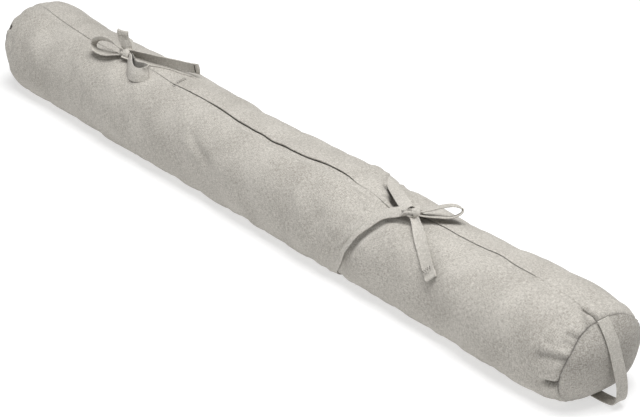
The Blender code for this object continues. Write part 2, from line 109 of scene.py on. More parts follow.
class Curve:
    """Smooth function through a few rows of a table."""

    def __init__(self, rows: Sequence, key: str, column: str) -> None:
        """Read two columns.

        Args:
            rows: named tuples or dataclasses in the order of the key.
            key: field that the function runs along.
            column: field that it gives.
        """
        keys = np.array([getattr(row, key) for row in rows], float)
        values = np.array([getattr(row, column) for row in rows], float)
        if keys[0] > keys[-1]:
            keys, values = keys[::-1], values[::-1]
        slopes = np.zeros(len(keys))
        slopes[1:-1] = (values[2:] - values[:-2]) / (keys[2:] - keys[:-2])
        self.keys, self.values, self.slopes = keys, values, slopes

    def __call__(self, where: Array) -> Array:
        """Values at the places given."""
        where = np.clip(np.asarray(where, float), self.keys[0], self.keys[-1])
        index = np.clip(np.searchsorted(self.keys, where, "right") - 1, 0, len(self.keys) - 2)
        span = self.keys[index + 1] - self.keys[index]
        t = (where - self.keys[index]) / span
        value = self.values[index] * (2 * t ** 3 - 3 * t ** 2 + 1)
        value += self.values[index + 1] * (3 * t ** 2 - 2 * t ** 3)
        value += self.slopes[index] * span * (t ** 3 - 2 * t ** 2 + t)
        return value + self.slopes[index + 1] * span * (t ** 3 - t ** 2)


@dataclass(frozen=True)
class End:
    """One end of the tube: its seam, the bulge of its panel and how the seam leans."""

    seam_x: float
    side: int
    bulge: float
    lean: float
    yaw: float
    sag: float
    kink: float


@dataclass(frozen=True)
class Station:
    """Height and half width of the tube's section at a place."""

    x: float
    half_width: float
    top: float
    bottom: float


@dataclass(frozen=True)
class Closure:
    """Where the lapped closure lies, how deep its fold is and how high its lip stands."""

    x: float
    angle: float
    groove: float
    lip: float


@dataclass(frozen=True)
class Wrap:
    """A place of a strap that follows the tube: how far it sinks in, and its roll."""

    angle: float
    x: float
    sunk: float
    roll: float


@dataclass(frozen=True)
class Crease:
    """A soft trough in the cloth from one place to another, or a ridge if negative."""

    x: float
    angle: float
    end_x: float
    end_angle: float
    width: float
    depth: float


FAR_END = End(-445.0, -1, 12.0, 9.0, 0.0, 1.0, 0.0)
NEAR_END = End(435.0, 1, 17.0, 8.0, 4.0, 2.6, 4.2)

NEAR_WRAP = (
    Wrap(74, 208, -7.2, 25), Wrap(68, 195, -4.2, 14), Wrap(61, 186, -1.6, 0),
    Wrap(46, 178, 0.4, -8), Wrap(31, 170, 0.8, -12), Wrap(14, 162, 0.9, -14),
    Wrap(-2, 154, 0.9, -12), Wrap(-20, 144, 0.5, -6), Wrap(-40, 134, 0.3, 0),
    Wrap(-65, 128, 0.6, 0), Wrap(-90, 126, 1.0, 0), Wrap(-120, 122, 1.0, 0),
    Wrap(-150, 119, 1.3, 0), Wrap(-180, 119, 1.2, 0), Wrap(-210, 123, 1.0, 0),
    Wrap(-232, 135, 0.8, 0), Wrap(-243, 143, 0.4, -3), Wrap(-252, 151, -0.6, -6),
    Wrap(-260, 160, -1.8, -10), Wrap(-268, 175, -3.4, -14), Wrap(-274, 187, -4.8, -16),
    Wrap(-279, 198, -6.4, -16), Wrap(-284, 208, -7.6, -16),
)
FAR_STRAP = (
    Wrap(79, -246, -6.5, 0), Wrap(90, -256, -3.2, 0), Wrap(100, -272, -1.2, 0),
    Wrap(110, -288, -0.9, 0), Wrap(120, -302, -0.9, 0), Wrap(134, -316, -0.9, 0),
    Wrap(150, -326, -0.9, 0), Wrap(166, -331, -0.9, 0), Wrap(178, -333, -0.9, 0),
)
FAR_ROOT = (
    Wrap(76, -245, -6.5, 0), Wrap(81, -231, -3.0, 0), Wrap(88, -216, -1.2, 0),
    Wrap(97, -196, -0.55, 0), Wrap(104, -176, -0.45, 0), Wrap(110, -162, -0.35, 0),
    Wrap(115, -152, 0.9, 0),
)


class TubeForm:
    """The tube's form as a function of place, without threads or lap."""

    stations = (
        Station(-445, 45.0, 84.5, 3.0), Station(-440, 48.4, 89.6, 0.0),
        Station(-430, 51.4, 93.0, -2.5), Station(-415, 53.2, 94.4, -4.6),
        Station(-395, 53.2, 93.0, -5.4), Station(-360, 51.9, 89.8, -5.3),
        Station(-300, 52.1, 89.6, -5.4), Station(-240, 53.4, 91.5, -5.5),
        Station(-180, 53.2, 91.9, -5.5), Station(-100, 51.5, 90.2, -5.4),
        Station(-20, 51.9, 89.5, -5.4), Station(60, 52.9, 91.3, -5.5),
        Station(115, 53.2, 93.4, -5.6), Station(150, 51.4, 89.0, -5.3),
        Station(185, 50.9, 88.5, -5.3), Station(240, 50.4, 87.2, -5.2),
        Station(300, 52.2, 88.3, -5.3), Station(350, 54.2, 90.2, -5.4),
        Station(388, 54.0, 90.8, -5.4), Station(410, 52.8, 89.6, -4.6),
        Station(423, 51.0, 87.0, -2.6), Station(431, 49.2, 84.4, -1.4),
        Station(435, 47.5, 81.6, 2.2),
    )
    closures = (
        Closure(-445, 86, 0.0, 0.0), Closure(-415, 84, 0.4, 0.0),
        Closure(-395, 83, 0.8, 0.1), Closure(-362, 82, 0.9, 0.1),
        Closure(-314, 80, 0.9, 0.1), Closure(-250, 80, 0.5, 0.0),
        Closure(-196, 81, 0.5, 0.0), Closure(-160, 78.5, 1.0, 0.3),
        Closure(-134, 80, 1.3, 1.0), Closure(-97, 80.6, 1.3, 1.2),
        Closure(-85, 80, 2.2, 2.0), Closure(-45, 77, 2.3, 2.2),
        Closure(-10, 76, 2.3, 2.2), Closure(20, 76, 2.2, 2.2),
        Closure(58, 76.5, 2.1, 2.0), Closure(78, 79, 2.2, 2.0),
        Closure(108, 80, 1.9, 1.6), Closure(126, 78.5, 1.5, 1.0),
        Closure(135, 78, 0.4, 0.2), Closure(151, 80, 0.2, 0.0),
        Closure(163, 78, 0.4, 0.1), Closure(186, 74, 1.3, 0.5),
        Closure(205, 80, 1.1, 0.4), Closure(223, 86, 1.1, 0.35),
        Closure(257, 86.5, 1.1, 0.35), Closure(290, 87, 1.1, 0.35),
        Closure(312, 88, 1.05, 0.3), Closure(339, 85, 1.0, 0.25),
        Closure(357, 84, 0.9, 0.2), Closure(367, 84, 0.15, 0.0),
        Closure(404, 82, 0.1, 0.0), Closure(418, 81, 0.5, 0.2),
        Closure(435, 82, 0.9, 0.4),
    )
    creases = (
        Crease(404, -13, 420, -12, 3.0, 1.1), Crease(423, -11.5, 441, -9, 2.4, 6.2),
        Crease(396, -12, 414, -11, 6.0, 1.0), Crease(408, -3, 435, 3, 4.0, -0.9),
        Crease(412, 12, 435, 22, 4.2, 2.2), Crease(414, 23, 435, 29, 3.4, -1.1),
        Crease(416, 27, 435, 34, 3.0, 1.3), Crease(426, 47, 436, 51, 2.1, 2.2),
        Crease(427, 38, 436, 43, 2.1, 1.8), Crease(418, 54, 435, 57, 3.4, -0.9),
        Crease(398, 83, 420, 80, 3.6, 0.9), Crease(420, 80, 435, 83, 1.9, 2.5),
        Crease(425, 76, 435, 68, 1.8, 2.3), Crease(414, 86, 424, 80, 2.2, 0.7),
        Crease(404, 66, 430, 61, 6.0, -1.2), Crease(414, 98, 435, 97, 5.0, 0.9),
        Crease(418, 112, 435, 111, 4.0, 0.7), Crease(414, 128, 435, 128, 6.0, 0.9),
        Crease(414, 158, 435, 156, 6.0, 1.6), Crease(414, -170, 435, -168, 5.0, 1.6),
        Crease(416, -36, 435, -34, 5.0, 1.4),
        Crease(-422, 18, -445, 21, 5.0, 1.3), Crease(-420, -12, -445, -10, 5.0, 1.2),
        Crease(-422, 58, -445, 60, 5.0, 1.1), Crease(-420, 78, -445, 80, 4.0, 1.0),
        Crease(-422, 104, -445, 102, 6.0, 1.0), Crease(-420, 134, -445, 130, 6.0, 0.9),
        Crease(-422, 165, -445, 162, 6.0, 1.4),
        Crease(-84, 31, -55, 14, 6.0, 1.5), Crease(-55, 14, -36, 3, 6.0, 1.2),
        Crease(-92, 22, -62, 6, 7.0, -0.9), Crease(18, 8, 38, 66, 12.0, -0.9),
        Crease(-300, 20, -262, 2, 12.0, 1.2), Crease(262, 8, 300, -16, 12.0, 1.2),
        Crease(20, -6, 62, -24, 12.0, 1.0), Crease(-210, 40, -168, 12, 13.0, 1.0),
        Crease(-380, 60, -330, 30, 14.0, 1.0), Crease(320, 50, 352, 20, 12.0, 0.9),
        Crease(90, 60, 118, 22, 11.0, 1.1), Crease(74, 50, 100, 10, 10.0, -0.8),
        Crease(120, 100, 60, 112, 10.0, 1.0), Crease(238, 110, 300, 120, 12.0, 1.1),
        Crease(-60, 118, 0, 128, 12.0, 1.0), Crease(226, 62, 262, 44, 9.0, 0.9),
        Crease(150, 99, 175, 87, 2.2, 4.2), Crease(168, 90, 194, 76, 3.2, 6.0),
        Crease(-435, 36, -447, 37, 3.0, 5.0),
    )
    upper_squareness = 2.15
    lower_squareness = 2.6
    lean_reach = 40.0
    girth_radius = 47.0
    dome_power = 2.7
    tape_thickness = 1.2
    groove_floor_half = 11.0
    groove_reach = 27.0

    def __init__(self) -> None:
        """Prepare the functions of the tables."""
        self.half_width = Curve(self.stations, "x", "half_width")
        self.top = Curve(self.stations, "x", "top")
        self.bottom = Curve(self.stations, "x", "bottom")
        self.closure = Curve(self.closures, "x", "angle")
        self.wrap_roll = Curve(NEAR_WRAP, "angle", "roll")
        self.wrap_x = Curve(NEAR_WRAP, "angle", "x")
        self.wrap_sunk = Curve(NEAR_WRAP, "angle", "sunk")

    def lean(self, x: Array, y: Array, z: Array) -> Array:
        """How far the low and front parts of an end are drawn back along the tube."""
        total = np.zeros(np.broadcast(x, y, z).shape)
        for end in (FAR_END, NEAR_END):
            share = soft_step(1.0 - end.side * (end.seam_x - x) / self.lean_reach)
            depth_below_top = 1.0 - z / self.top(x)
            back_share = (y / self.half_width(x) + 1.0) / 2
            nearer = np.sign(x) == end.side
            pull = end.lean * depth_below_top ** 2 - end.yaw * back_share
            pull = pull - end.kink * np.exp(-((y + 38.0) ** 2 + (z - 60.0) ** 2) / 16.0 ** 2)
            total = total + nearer * end.side * share * pull
        return total

    def plain(self, x: Array, angle: Array) -> Array:
        """Points on the smooth filled tube, flattened where it rests on the ground."""
        x, angle = np.broadcast_arrays(np.asarray(x, float), np.asarray(angle, float))
        middle = (self.top(x) + self.bottom(x)) / 2
        half_height = (self.top(x) - self.bottom(x)) / 2
        across = np.cos(np.radians(angle))
        upward = np.sin(np.radians(angle))
        power = 2.0 / np.where(upward > 0, self.upper_squareness, self.lower_squareness)
        y = -self.half_width(x) * np.sign(across) * np.abs(across) ** power
        z = middle + half_height * np.sign(upward) * np.abs(upward) ** power
        return np.stack([x - self.lean(x, y, z), y, np.maximum(z, 0.0)], axis=-1)

    def outward(self, x: Array, angle: Array) -> Array:
        """Outward direction of the smooth tube."""
        around = self.plain(x, angle + 1.0) - self.plain(x, angle - 1.0)
        along = self.plain(x + 1.0, angle) - self.plain(x - 1.0, angle)
        return unit(np.cross(along, around))

    def along_closure(self, x: Array, column: str) -> Array:
        """Depth of the closure's fold, or height of its lip, at places along the tube."""
        places = [row.x for row in self.closures]
        return np.interp(x, places, [getattr(row, column) for row in self.closures])

    def groove(self, x: Array) -> Array:
        """Depth of the closure's fold."""
        return self.along_closure(x, "groove")

    def lip(self, x: Array) -> Array:
        """How high the closure's lip stands open."""
        return self.along_closure(x, "lip")

    def beside_tie(self, x: Array, angle: Array) -> tuple[Array, Array]:
        """Distance from the near tie's middle line, and the tie's own angle there."""
        start = NEAR_WRAP[0].angle
        wrapped = np.mod(angle - start, 360.0) - 360.0 + start
        arc = math.radians(2.0) * self.girth_radius
        slope = (self.wrap_x(wrapped + 1.0) - self.wrap_x(wrapped - 1.0)) / arc
        return (x - self.wrap_x(wrapped)) / np.sqrt(1.0 + slope ** 2), wrapped

    def tie_trough(self, x: Array, angle: Array) -> Array:
        """Height of the cloth by the near tie: a trough that one side of it laps over."""
        aside, wrapped = self.beside_tie(x, angle)
        tilt = np.tan(np.radians(np.clip(-self.wrap_roll(wrapped), 0.0, 40.0)))
        floor = np.maximum(self.wrap_sunk(wrapped) + self.tape_thickness + 0.05, 0.0)
        held = soft_step(floor / 1.2)
        trough = (np.clip(aside, -6.8, 0.0) * tilt * held - floor)
        edge = self.lap_edge(wrapped)
        near = soft_step((edge + 6.6) / 5.0)
        trough = trough * (1.0 - soft_step((edge - aside) / (9.0 - 5.5 * near)))
        behind = np.interp(wrapped, (-268, -252, -180, -130), (0.0, 1.0, 1.0, 0.0))
        trough = trough * (1.0 - soft_step((aside - 6.5 + 2.0 * behind) / (12.0 - 6.5 * behind)))
        trough = trough + 0.9 * near * np.exp(-((aside - edge + 3.5) / 4.0) ** 2)
        trough = trough - 2.2 * self.front_pull(wrapped) * np.exp(-((aside - 8.2) / 3.0) ** 2)
        swelling = 0.5 * np.exp(-((aside + 19.0) / 8.0) ** 2)
        swelling = swelling + 0.4 * np.exp(-((aside - 24.0) / 9.0) ** 2)
        return trough + swelling * held

    def lap_edge(self, wrapped: Array) -> Array:
        """How far across the near tie the cloth laps over it, mm from its middle."""
        angles = (-272, -256, -240, -190, -160, -95, -60, -30, 0, 28, 40, 52, 60)
        edges = (-6.6, -4.6, -3.0, -3.0, -6.6, -6.6, -2.0, 2.0, 2.9, 2.6, 1.0, -3.0, -6.6)
        return np.interp(wrapped, angles, edges)

    def front_pull(self, wrapped: Array) -> Array:
        """How strongly the near tie pulls a hollow in front of itself, from 0 to 1."""
        return np.interp(wrapped, (-12, 10, 40, 62, 76), (0.0, 0.75, 1.0, 0.9, 0.0))

    def crease_depth(self, x: Array, angle: Array) -> Array:
        """Depth of the puckers and soft creases."""
        signed = np.mod(angle + 180.0, 360.0) - 180.0
        arc = math.radians(1.0) * self.girth_radius
        depth = np.zeros(np.broadcast(x, angle).shape)
        for crease in self.creases:
            run = np.array([crease.end_x - crease.x, (crease.end_angle - crease.angle) * arc])
            here_x, here_arc = x - crease.x, (signed - crease.angle) * arc
            share = np.clip((here_x * run[0] + here_arc * run[1]) / (run @ run), 0.0, 1.0)
            away = np.hypot(here_x - share * run[0], here_arc - share * run[1])
            depth = depth + crease.depth * np.exp(-(away / crease.width) ** 2)
        return depth

    def fold_shade(self, x: Array, angle: Array) -> Array:
        """Painted shade, from 0 to 1: how far a place lies inside a tight fold, next to an end seam
        or in the hollow beside the near tie.
        """
        signed = np.mod(angle + 180.0, 360.0) - 180.0
        arc = math.radians(1.0) * self.girth_radius
        shade = np.zeros(np.broadcast(x, angle).shape)
        for crease in self.creases:
            if crease.depth < 1.7 or crease.width > 4.5:
                continue
            run = np.array([crease.end_x - crease.x, (crease.end_angle - crease.angle) * arc])
            here_x, here_arc = x - crease.x, (signed - crease.angle) * arc
            share = np.clip((here_x * run[0] + here_arc * run[1]) / (run @ run), 0.0, 1.0)
            away = np.hypot(here_x - share * run[0], here_arc - share * run[1])
            strength = min(1.0, (crease.depth - 1.2) / 2.6)
            shade = np.maximum(shade, strength * np.exp(-(away / crease.width / 0.75) ** 2))
        # Painted shade along both end seams
        for end in (FAR_END, NEAR_END):
            gap = np.abs(end.seam_x - x)
            shade = np.maximum(shade, 0.5 * np.exp(-(gap / 1.1) ** 2))
        # Painted shade in the hollow beside the near tie's strap
        aside, wrapped = self.beside_tie(x, angle)
        dark = 0.6 * self.front_pull(wrapped) * np.exp(-((aside - 7.2) / 2.0) ** 2)
        return np.maximum(shade, dark)

    def seam_puckers(self, x: Array, angle: Array) -> Array:
        """Small gathers of the cloth where it is sewn to the end panels."""
        height = np.zeros(np.broadcast(x, angle).shape)
        for end in (FAR_END, NEAR_END):
            gap = np.abs(end.seam_x - x)
            ripple = np.sin(np.radians(angle) * 31 + 2.2 * np.sin(np.radians(angle) * 7))
            ripple = ripple * (0.6 + 0.4 * np.sin(np.radians(angle) * 5 + end.side))
            height = height + 0.45 * ripple * np.exp(-gap / 7.0)
            height = height - 1.3 * np.exp(-gap / 1.7)
        return height


TUBE = TubeForm()


def end_ring(end: End, angles: Array, scale: float, push: float) -> Array:
    """The end seam's ring made smaller about its middle and pushed out along the tube.

    Args:
        end: which end.
        angles: places round the ring, degrees.
        scale: size of the ring as a share of the seam's.
        push: how far it lies outside the seam, mm.

    Returns:
        One point for each angle, mm.
    """
    x = np.full(len(angles), end.seam_x)
    middle = (TUBE.top(end.seam_x) + TUBE.bottom(end.seam_x)) / 2
    rim = TUBE.plain(x, angles)
    points = np.empty_like(rim)
    points[:, 1] = rim[:, 1] * scale
    points[:, 2] = np.maximum(middle + (rim[:, 2] - middle) * scale - end.sag * (1 - scale), 0.0)
    points[:, 0] = end.seam_x + end.side * push - TUBE.lean(x, points[:, 1], points[:, 2])
    return points


def select_only(thing: bpy.types.Object) -> None:
    """Deselect everything, then select one object and make it active."""
    bpy.ops.object.select_all(action="DESELECT")
    thing.select_set(True)
    bpy.context.view_layer.objects.active = thing


def apply_modifiers(thing: bpy.types.Object) -> None:
    """Apply an object's modifiers in order."""
    select_only(thing)
    for modifier in list(thing.modifiers):
        bpy.ops.object.modifier_apply(modifier=modifier.name)


def grid_object(name: str, rows: Array, weave: Array, round_it: bool,
                fold: Array | None = None) -> bpy.types.Object:
    """Mesh object from a grid of points.

    Args:
        name: name of the object.
        rows: points, mm, as (row, column, 3).
        weave: flat place of each point in the cloth, mm, as (row, column, 2), with one
            column more than rows where the grid closes round.
        round_it: whether the last column joins the first.
        fold: painted shade of each point, from 0 to 1, by how deep it lies in a fold; it darkens
            the colour.

    Returns:
        The object, in metres, at the frame's place.
    """
    count, across = rows.shape[:2]
    points = (rows + np.array([SHIFT_X, 0.0, 0.0])).reshape(-1, 3) * MM
    columns = np.arange(across if round_it else across - 1)
    row_index = np.arange(count - 1)[:, None]
    after = (columns + 1) % across
    faces = np.stack([row_index * across + columns, row_index * across + after,
                      (row_index + 1) * across + after, (row_index + 1) * across + columns], -1)
    mesh = bpy.data.meshes.new(name)
    mesh.from_pydata(points.tolist(), [], faces.reshape(-1, 4).tolist())
    wide = weave.shape[1]
    corners = np.stack([row_index * wide + columns, row_index * wide + columns + 1,
                        (row_index + 1) * wide + columns + 1, (row_index + 1) * wide + columns], -1)
    flat = weave.reshape(-1, 2)[corners.reshape(-1)] * MM
    layer = mesh.uv_layers.new(name=WEAVE_MAP)
    layer.data.foreach_set("uv", flat.astype(np.float32).ravel())
    mesh.validate()
    painted_shades = np.zeros(count * across) if fold is None else fold.ravel()
    mesh.attributes.new(PAINTED_SHADE, "FLOAT", "POINT").data.foreach_set(
        "value", painted_shades.astype(np.float32))
    thing = bpy.data.objects.new(name, mesh)
    bpy.context.scene.collection.objects.link(thing)
    mesh.shade_smooth()
    return thing


def close_ends(thing: bpy.types.Object) -> None:
    """Fill the open ends of a shell and turn its faces outwards."""
    select_only(thing)
    bpy.ops.object.mode_set(mode="EDIT")
    bpy.ops.mesh.select_all(action="DESELECT")
    bpy.ops.mesh.select_non_manifold()
    bpy.ops.mesh.edge_face_add()
    bpy.ops.mesh.select_all(action="SELECT")
    bpy.ops.mesh.normals_make_consistent(inside=False)
    bpy.ops.object.mode_set(mode="OBJECT")


class Wire:
    """A shader socket that takes part in sums like a number."""

    def __init__(self, graph: "Graph", socket: bpy.types.NodeSocket) -> None:
        """Remember where the value comes from."""
        self.graph, self.socket = graph, socket

    def _sum(self, operation: str, first: object, second: object) -> "Wire":
        """One Math node."""
        return self.graph.node("ShaderNodeMath", {"operation": operation}, {0: first, 1: second})

    def __add__(self, other: object) -> "Wire":
        """self + other."""
        return self._sum("ADD", self, other)

    def __sub__(self, other: object) -> "Wire":
        """self - other."""
        return self._sum("SUBTRACT", self, other)

    def __rsub__(self, other: object) -> "Wire":
        """other - self."""
        return self._sum("SUBTRACT", other, self)

    def __mul__(self, other: object) -> "Wire":
        """self * other."""
        return self._sum("MULTIPLY", self, other)

    def __gt__(self, other: object) -> "Wire":
        """1 where self is the larger."""
        return self._sum("GREATER_THAN", self, other)

    def sine(self) -> "Wire":
        """Sine of the value."""
        return self._sum("SINE", self, 0.0)

    def size(self) -> "Wire":
        """The value without its sign."""
        return self._sum("ABSOLUTE", self, 0.0)

    __radd__ = __add__
    __rmul__ = __mul__


class Graph:
    """Builder of one material's nodes."""

    def __init__(self, name: str) -> None:
        """Start a material with its shader alone."""
        self.material = bpy.data.materials.new(name)
        self.material.use_nodes = True
        self.tree = self.material.node_tree
        self.shader = self.tree.nodes["Principled BSDF"]

    def node(self, kind: str, settings: dict, inputs: dict, output: object = 0) -> Wire:
        """Add one node.

        Args:
            kind: the node's type.
            settings: its properties, set before its sockets.
            inputs: values or wires by socket name or number.
            output: which socket to give back.

        Returns:
            The output socket as a wire.
        """
        made = self.tree.nodes.new(kind)
        for key, value in settings.items():
            setattr(made, key, value)
        for key, value in inputs.items():
            self.feed(made.inputs[key], value)
        return Wire(self, made.outputs[output])

    def feed(self, socket: bpy.types.NodeSocket, value: object) -> None:
        """Give a socket a wire or a constant."""
        if isinstance(value, Wire):
            self.tree.links.new(value.socket, socket)
        else:
            socket.default_value = value

    def attribute(self, name: str) -> Wire:
        """A number stored on the mesh."""
        return self.node("ShaderNodeAttribute", {"attribute_name": name}, {}, "Fac")

    def noise(self, first: object, second: object, detail: float) -> Wire:
        """Noise from 0 to 1 over two coordinates."""
        where = self.node("ShaderNodeCombineXYZ", {}, {0: first, 1: second, 2: 0.0})
        return self.node("ShaderNodeTexNoise", {"noise_dimensions": "2D"},
                         {"Vector": where, "Scale": 1.0, "Detail": detail})


@dataclass(frozen=True)
class Linen:
    """Woven linen: its two tones, the pitch of its threads and how far they stand out."""

    name: str
    light: tuple[float, float, float]
    dark: tuple[float, float, float]
    pitch: float = 0.00085
    relief: float = 0.6
    slub: float = 1.65
    patch: float = 0.8
    # How far the painted shade of folds and hollows darkens the colour
    painted_shade_strength: float = 0.78
    roughness: float = 0.94
    sheen: float = 0.06

    def make(self) -> bpy.types.Material:
        """Build the material.

        Returns:
            The material, whose pattern follows the weave map.
        """
        graph = Graph(self.name)
        place = graph.node("ShaderNodeUVMap", {"uv_map": WEAVE_MAP}, {})
        along = graph.node("ShaderNodeSeparateXYZ", {}, {0: place})
        across = Wire(graph, along.socket.node.outputs[1])
        turn = math.pi / self.pitch
        warp = (along * turn).sine()
        weft = (across * turn).sine()
        over = (warp * weft) > 0.0
        threads = over * warp.size() + (1.0 - over) * weft.size()
        slub_along = graph.noise(along * 260.0, across * 1500.0, 2.0)
        slub_across = graph.noise(along * 1500.0, across * 260.0, 2.0)
        fleck = graph.noise(along * 1000.0 + 40.0, across * 1000.0, 2.0)
        patches = graph.noise(along * 24.0, across * 24.0, 4.0)
        tone = (slub_along - 0.5) * self.slub + (slub_across - 0.5) * self.slub
        tone = tone + (fleck - 0.5) * self.slub + (patches - 0.5) * self.patch
        tone = tone + (threads - 0.6) * 0.16 + 0.5
        colour = graph.node("ShaderNodeMix", {"data_type": "RGBA", "clamp_factor": True},
                            {0: tone, 6: (*self.dark, 1.0), 7: (*self.light, 1.0)}, 2)
        # Painted shade: where the attribute is high, the colour is mixed towards a near-black copy
        # of the dark tone
        shade = graph.attribute(PAINTED_SHADE) * self.painted_shade_strength
        inside = tuple(0.10 * value for value in self.dark)
        colour = graph.node("ShaderNodeMix", {"data_type": "RGBA", "clamp_factor": True},
                            {0: shade, 6: colour, 7: (*inside, 1.0)}, 2)
        height = threads * 0.45 + slub_along * 0.9 + slub_across * 0.9 + fleck * 0.2
        bump = graph.node("ShaderNodeBump", {}, {"Strength": self.relief,
                                                 "Distance": 0.0004, "Height": height})
        graph.feed(graph.shader.inputs["Base Color"], colour)
        graph.feed(graph.shader.inputs["Normal"], bump)
        graph.shader.inputs["Roughness"].default_value = self.roughness
        graph.shader.inputs["Sheen Weight"].default_value = self.sheen
        graph.shader.inputs["Sheen Roughness"].default_value = 0.6
        graph.shader.inputs["Specular IOR Level"].default_value = 0.15
        return graph.material


COVER_LINEN = Linen("cover_linen", (0.56, 0.535, 0.49), (0.32, 0.30, 0.268))
# Painted shade: the end panels' linen is the cover's linen made darker, for the ends facing away
# from the overhead light
PANEL_LINEN_SHADED = Linen("panel_linen_with_painted_shade", (0.50, 0.476, 0.436), (0.275, 0.258, 0.23))
TAPE_LINEN = Linen("tape_linen_cloth", (0.58, 0.555, 0.51), (0.35, 0.33, 0.295),
                   pitch=0.00075, relief=0.5, slub=1.3)
THREAD = Linen("sewing_thread", (0.15, 0.14, 0.125), (0.10, 0.093, 0.083), slub=0.6)


def dress(thing: bpy.types.Object, material: bpy.types.Material,
          nodes: Iterable[str] = ()) -> None:
    """Give a piece its material and its place in the frame.

    Args:
        thing: the piece.
        material: its finish.
        nodes: solids that the piece replaces.
    """
    thing.data.materials.clear()
    thing.data.materials.append(material)
    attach(thing, ROOT)
    if nodes:
        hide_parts(*nodes)
    LOG.info("made %s with %d faces", thing.name, len(thing.data.polygons))


@dataclass
class Stuffing:
    """How the filling swells the cover, from a cloth simulation of a coarse copy."""

    rings: int = 150
    columns: int = 60
    pressure: float = 4.0
    last_frame: int = 20
    cap: float = 6.0
    window: int = 5
    share: float = 0.5
    most: float = 0.9

    def __post_init__(self) -> None:
        self.places = np.linspace(FAR_END.seam_x, NEAR_END.seam_x, self.rings)
        self.angles = np.arange(self.columns) * 360.0 / self.columns
        self.creases = np.zeros((self.rings, self.columns))
        self.creases = self.local_part(self.simulate())

    def coarse_copy(self) -> tuple[bpy.types.Object, Array, Array]:
        """Model the coarse, slightly smaller cover.

        Returns:
            The object, its points in mm and its outward directions.
        """
        x, angle = np.meshgrid(self.places, self.angles, indexing="ij")
        normal = TUBE.outward(x, angle)
        height = TUBE.tie_trough(x, angle) - 0.7 * TUBE.crease_depth(x, angle) - 1.5
        height = height + 0.8 * field_noise(x, angle * 0.8, 30.0, 6.0)
        points = TUBE.plain(x, angle) + normal * height[..., None]
        points[..., 2] = np.maximum(points[..., 2], 0.0)
        weave = np.zeros((self.rings, self.columns + 1, 2))
        thing = grid_object("coarse_cover", points, weave, True)
        close_ends(thing)
        aside, _ = TUBE.beside_tie(x, angle)
        held = (points[..., 2] < 1.5) | (np.abs(aside) < 7.5)
        held[:2] = held[-2:] = True
        group = thing.vertex_groups.new(name="held")
        group.add(np.flatnonzero(held.ravel()).tolist(), 1.0, "REPLACE")
        return thing, points, normal

    def simulate(self) -> Array:
        """Swell the coarse copy.

        Returns:
            How far each of its points moved outwards, mm.
        """
        thing, points, normal = self.coarse_copy()
        cloth = thing.modifiers.new("swelling", "CLOTH")
        cloth.settings.quality = 6
        cloth.settings.mass = 0.3
        cloth.settings.tension_stiffness = 15.0
        cloth.settings.compression_stiffness = 8.0
        cloth.settings.bending_stiffness = 0.3
        cloth.settings.use_pressure = True
        cloth.settings.uniform_pressure_force = self.pressure
        cloth.settings.shrink_min = -0.045
        cloth.settings.vertex_group_mass = "held"
        cloth.settings.effector_weights.gravity = 0.0
        scene = bpy.context.scene
        for step in range(1, self.last_frame + 1):
            scene.frame_set(step)
        swollen = thing.evaluated_get(bpy.context.evaluated_depsgraph_get())
        moved = np.zeros(len(swollen.data.vertices) * 3)
        swollen.data.vertices.foreach_get("co", moved)
        count = self.rings * self.columns
        moved = moved.reshape(-1, 3)[:count].reshape(points.shape) / MM
        moved = moved - points - np.array([SHIFT_X, 0.0, 0.0])
        scene.frame_set(1)
        bpy.data.objects.remove(thing, do_unlink=True)
        LOG.info("swelled the cover by %.1f mm at most", float(np.abs(moved).max()))
        return np.clip((moved * normal).sum(axis=-1), -self.cap, self.cap)

    def local_part(self, rise: Array) -> Array:
        """Creases and bulges alone, without the even swelling."""
        shifts = range(-self.window, self.window + 1)
        padded = np.pad(rise, ((self.window, self.window), (0, 0)), mode="edge")
        mean = sum(padded[self.window + k:self.window + k + self.rings] for k in shifts)
        mean = sum(np.roll(mean, k, axis=1) for k in shifts) / len(shifts) ** 2
        part = (rise - mean) * self.share
        LOG.info("creases of %.2f mm on average", float(np.abs(part).mean()))
        return self.most * np.tanh(part / self.most)

    def __call__(self, x: Array, angle: Array) -> Array:
        """Rise of the creases at the places given."""
        row = np.interp(x, self.places, np.arange(self.rings))
        column = np.mod(angle, 360.0) / 360.0 * self.columns
        row_low = np.clip(np.floor(row).astype(int), 0, self.rings - 2)
        column_low = np.floor(column).astype(int) % self.columns
        column_high = (column_low + 1) % self.columns
        down, over = row - row_low, column - np.floor(column)
        down, over = soft_step(down), soft_step(over)
        near = self.creases[row_low, column_low] * (1 - over)
        near = near + self.creases[row_low, column_high] * over
        far = self.creases[row_low + 1, column_low] * (1 - over)
        far = far + self.creases[row_low + 1, column_high] * over
        return near * (1 - down) + far * down


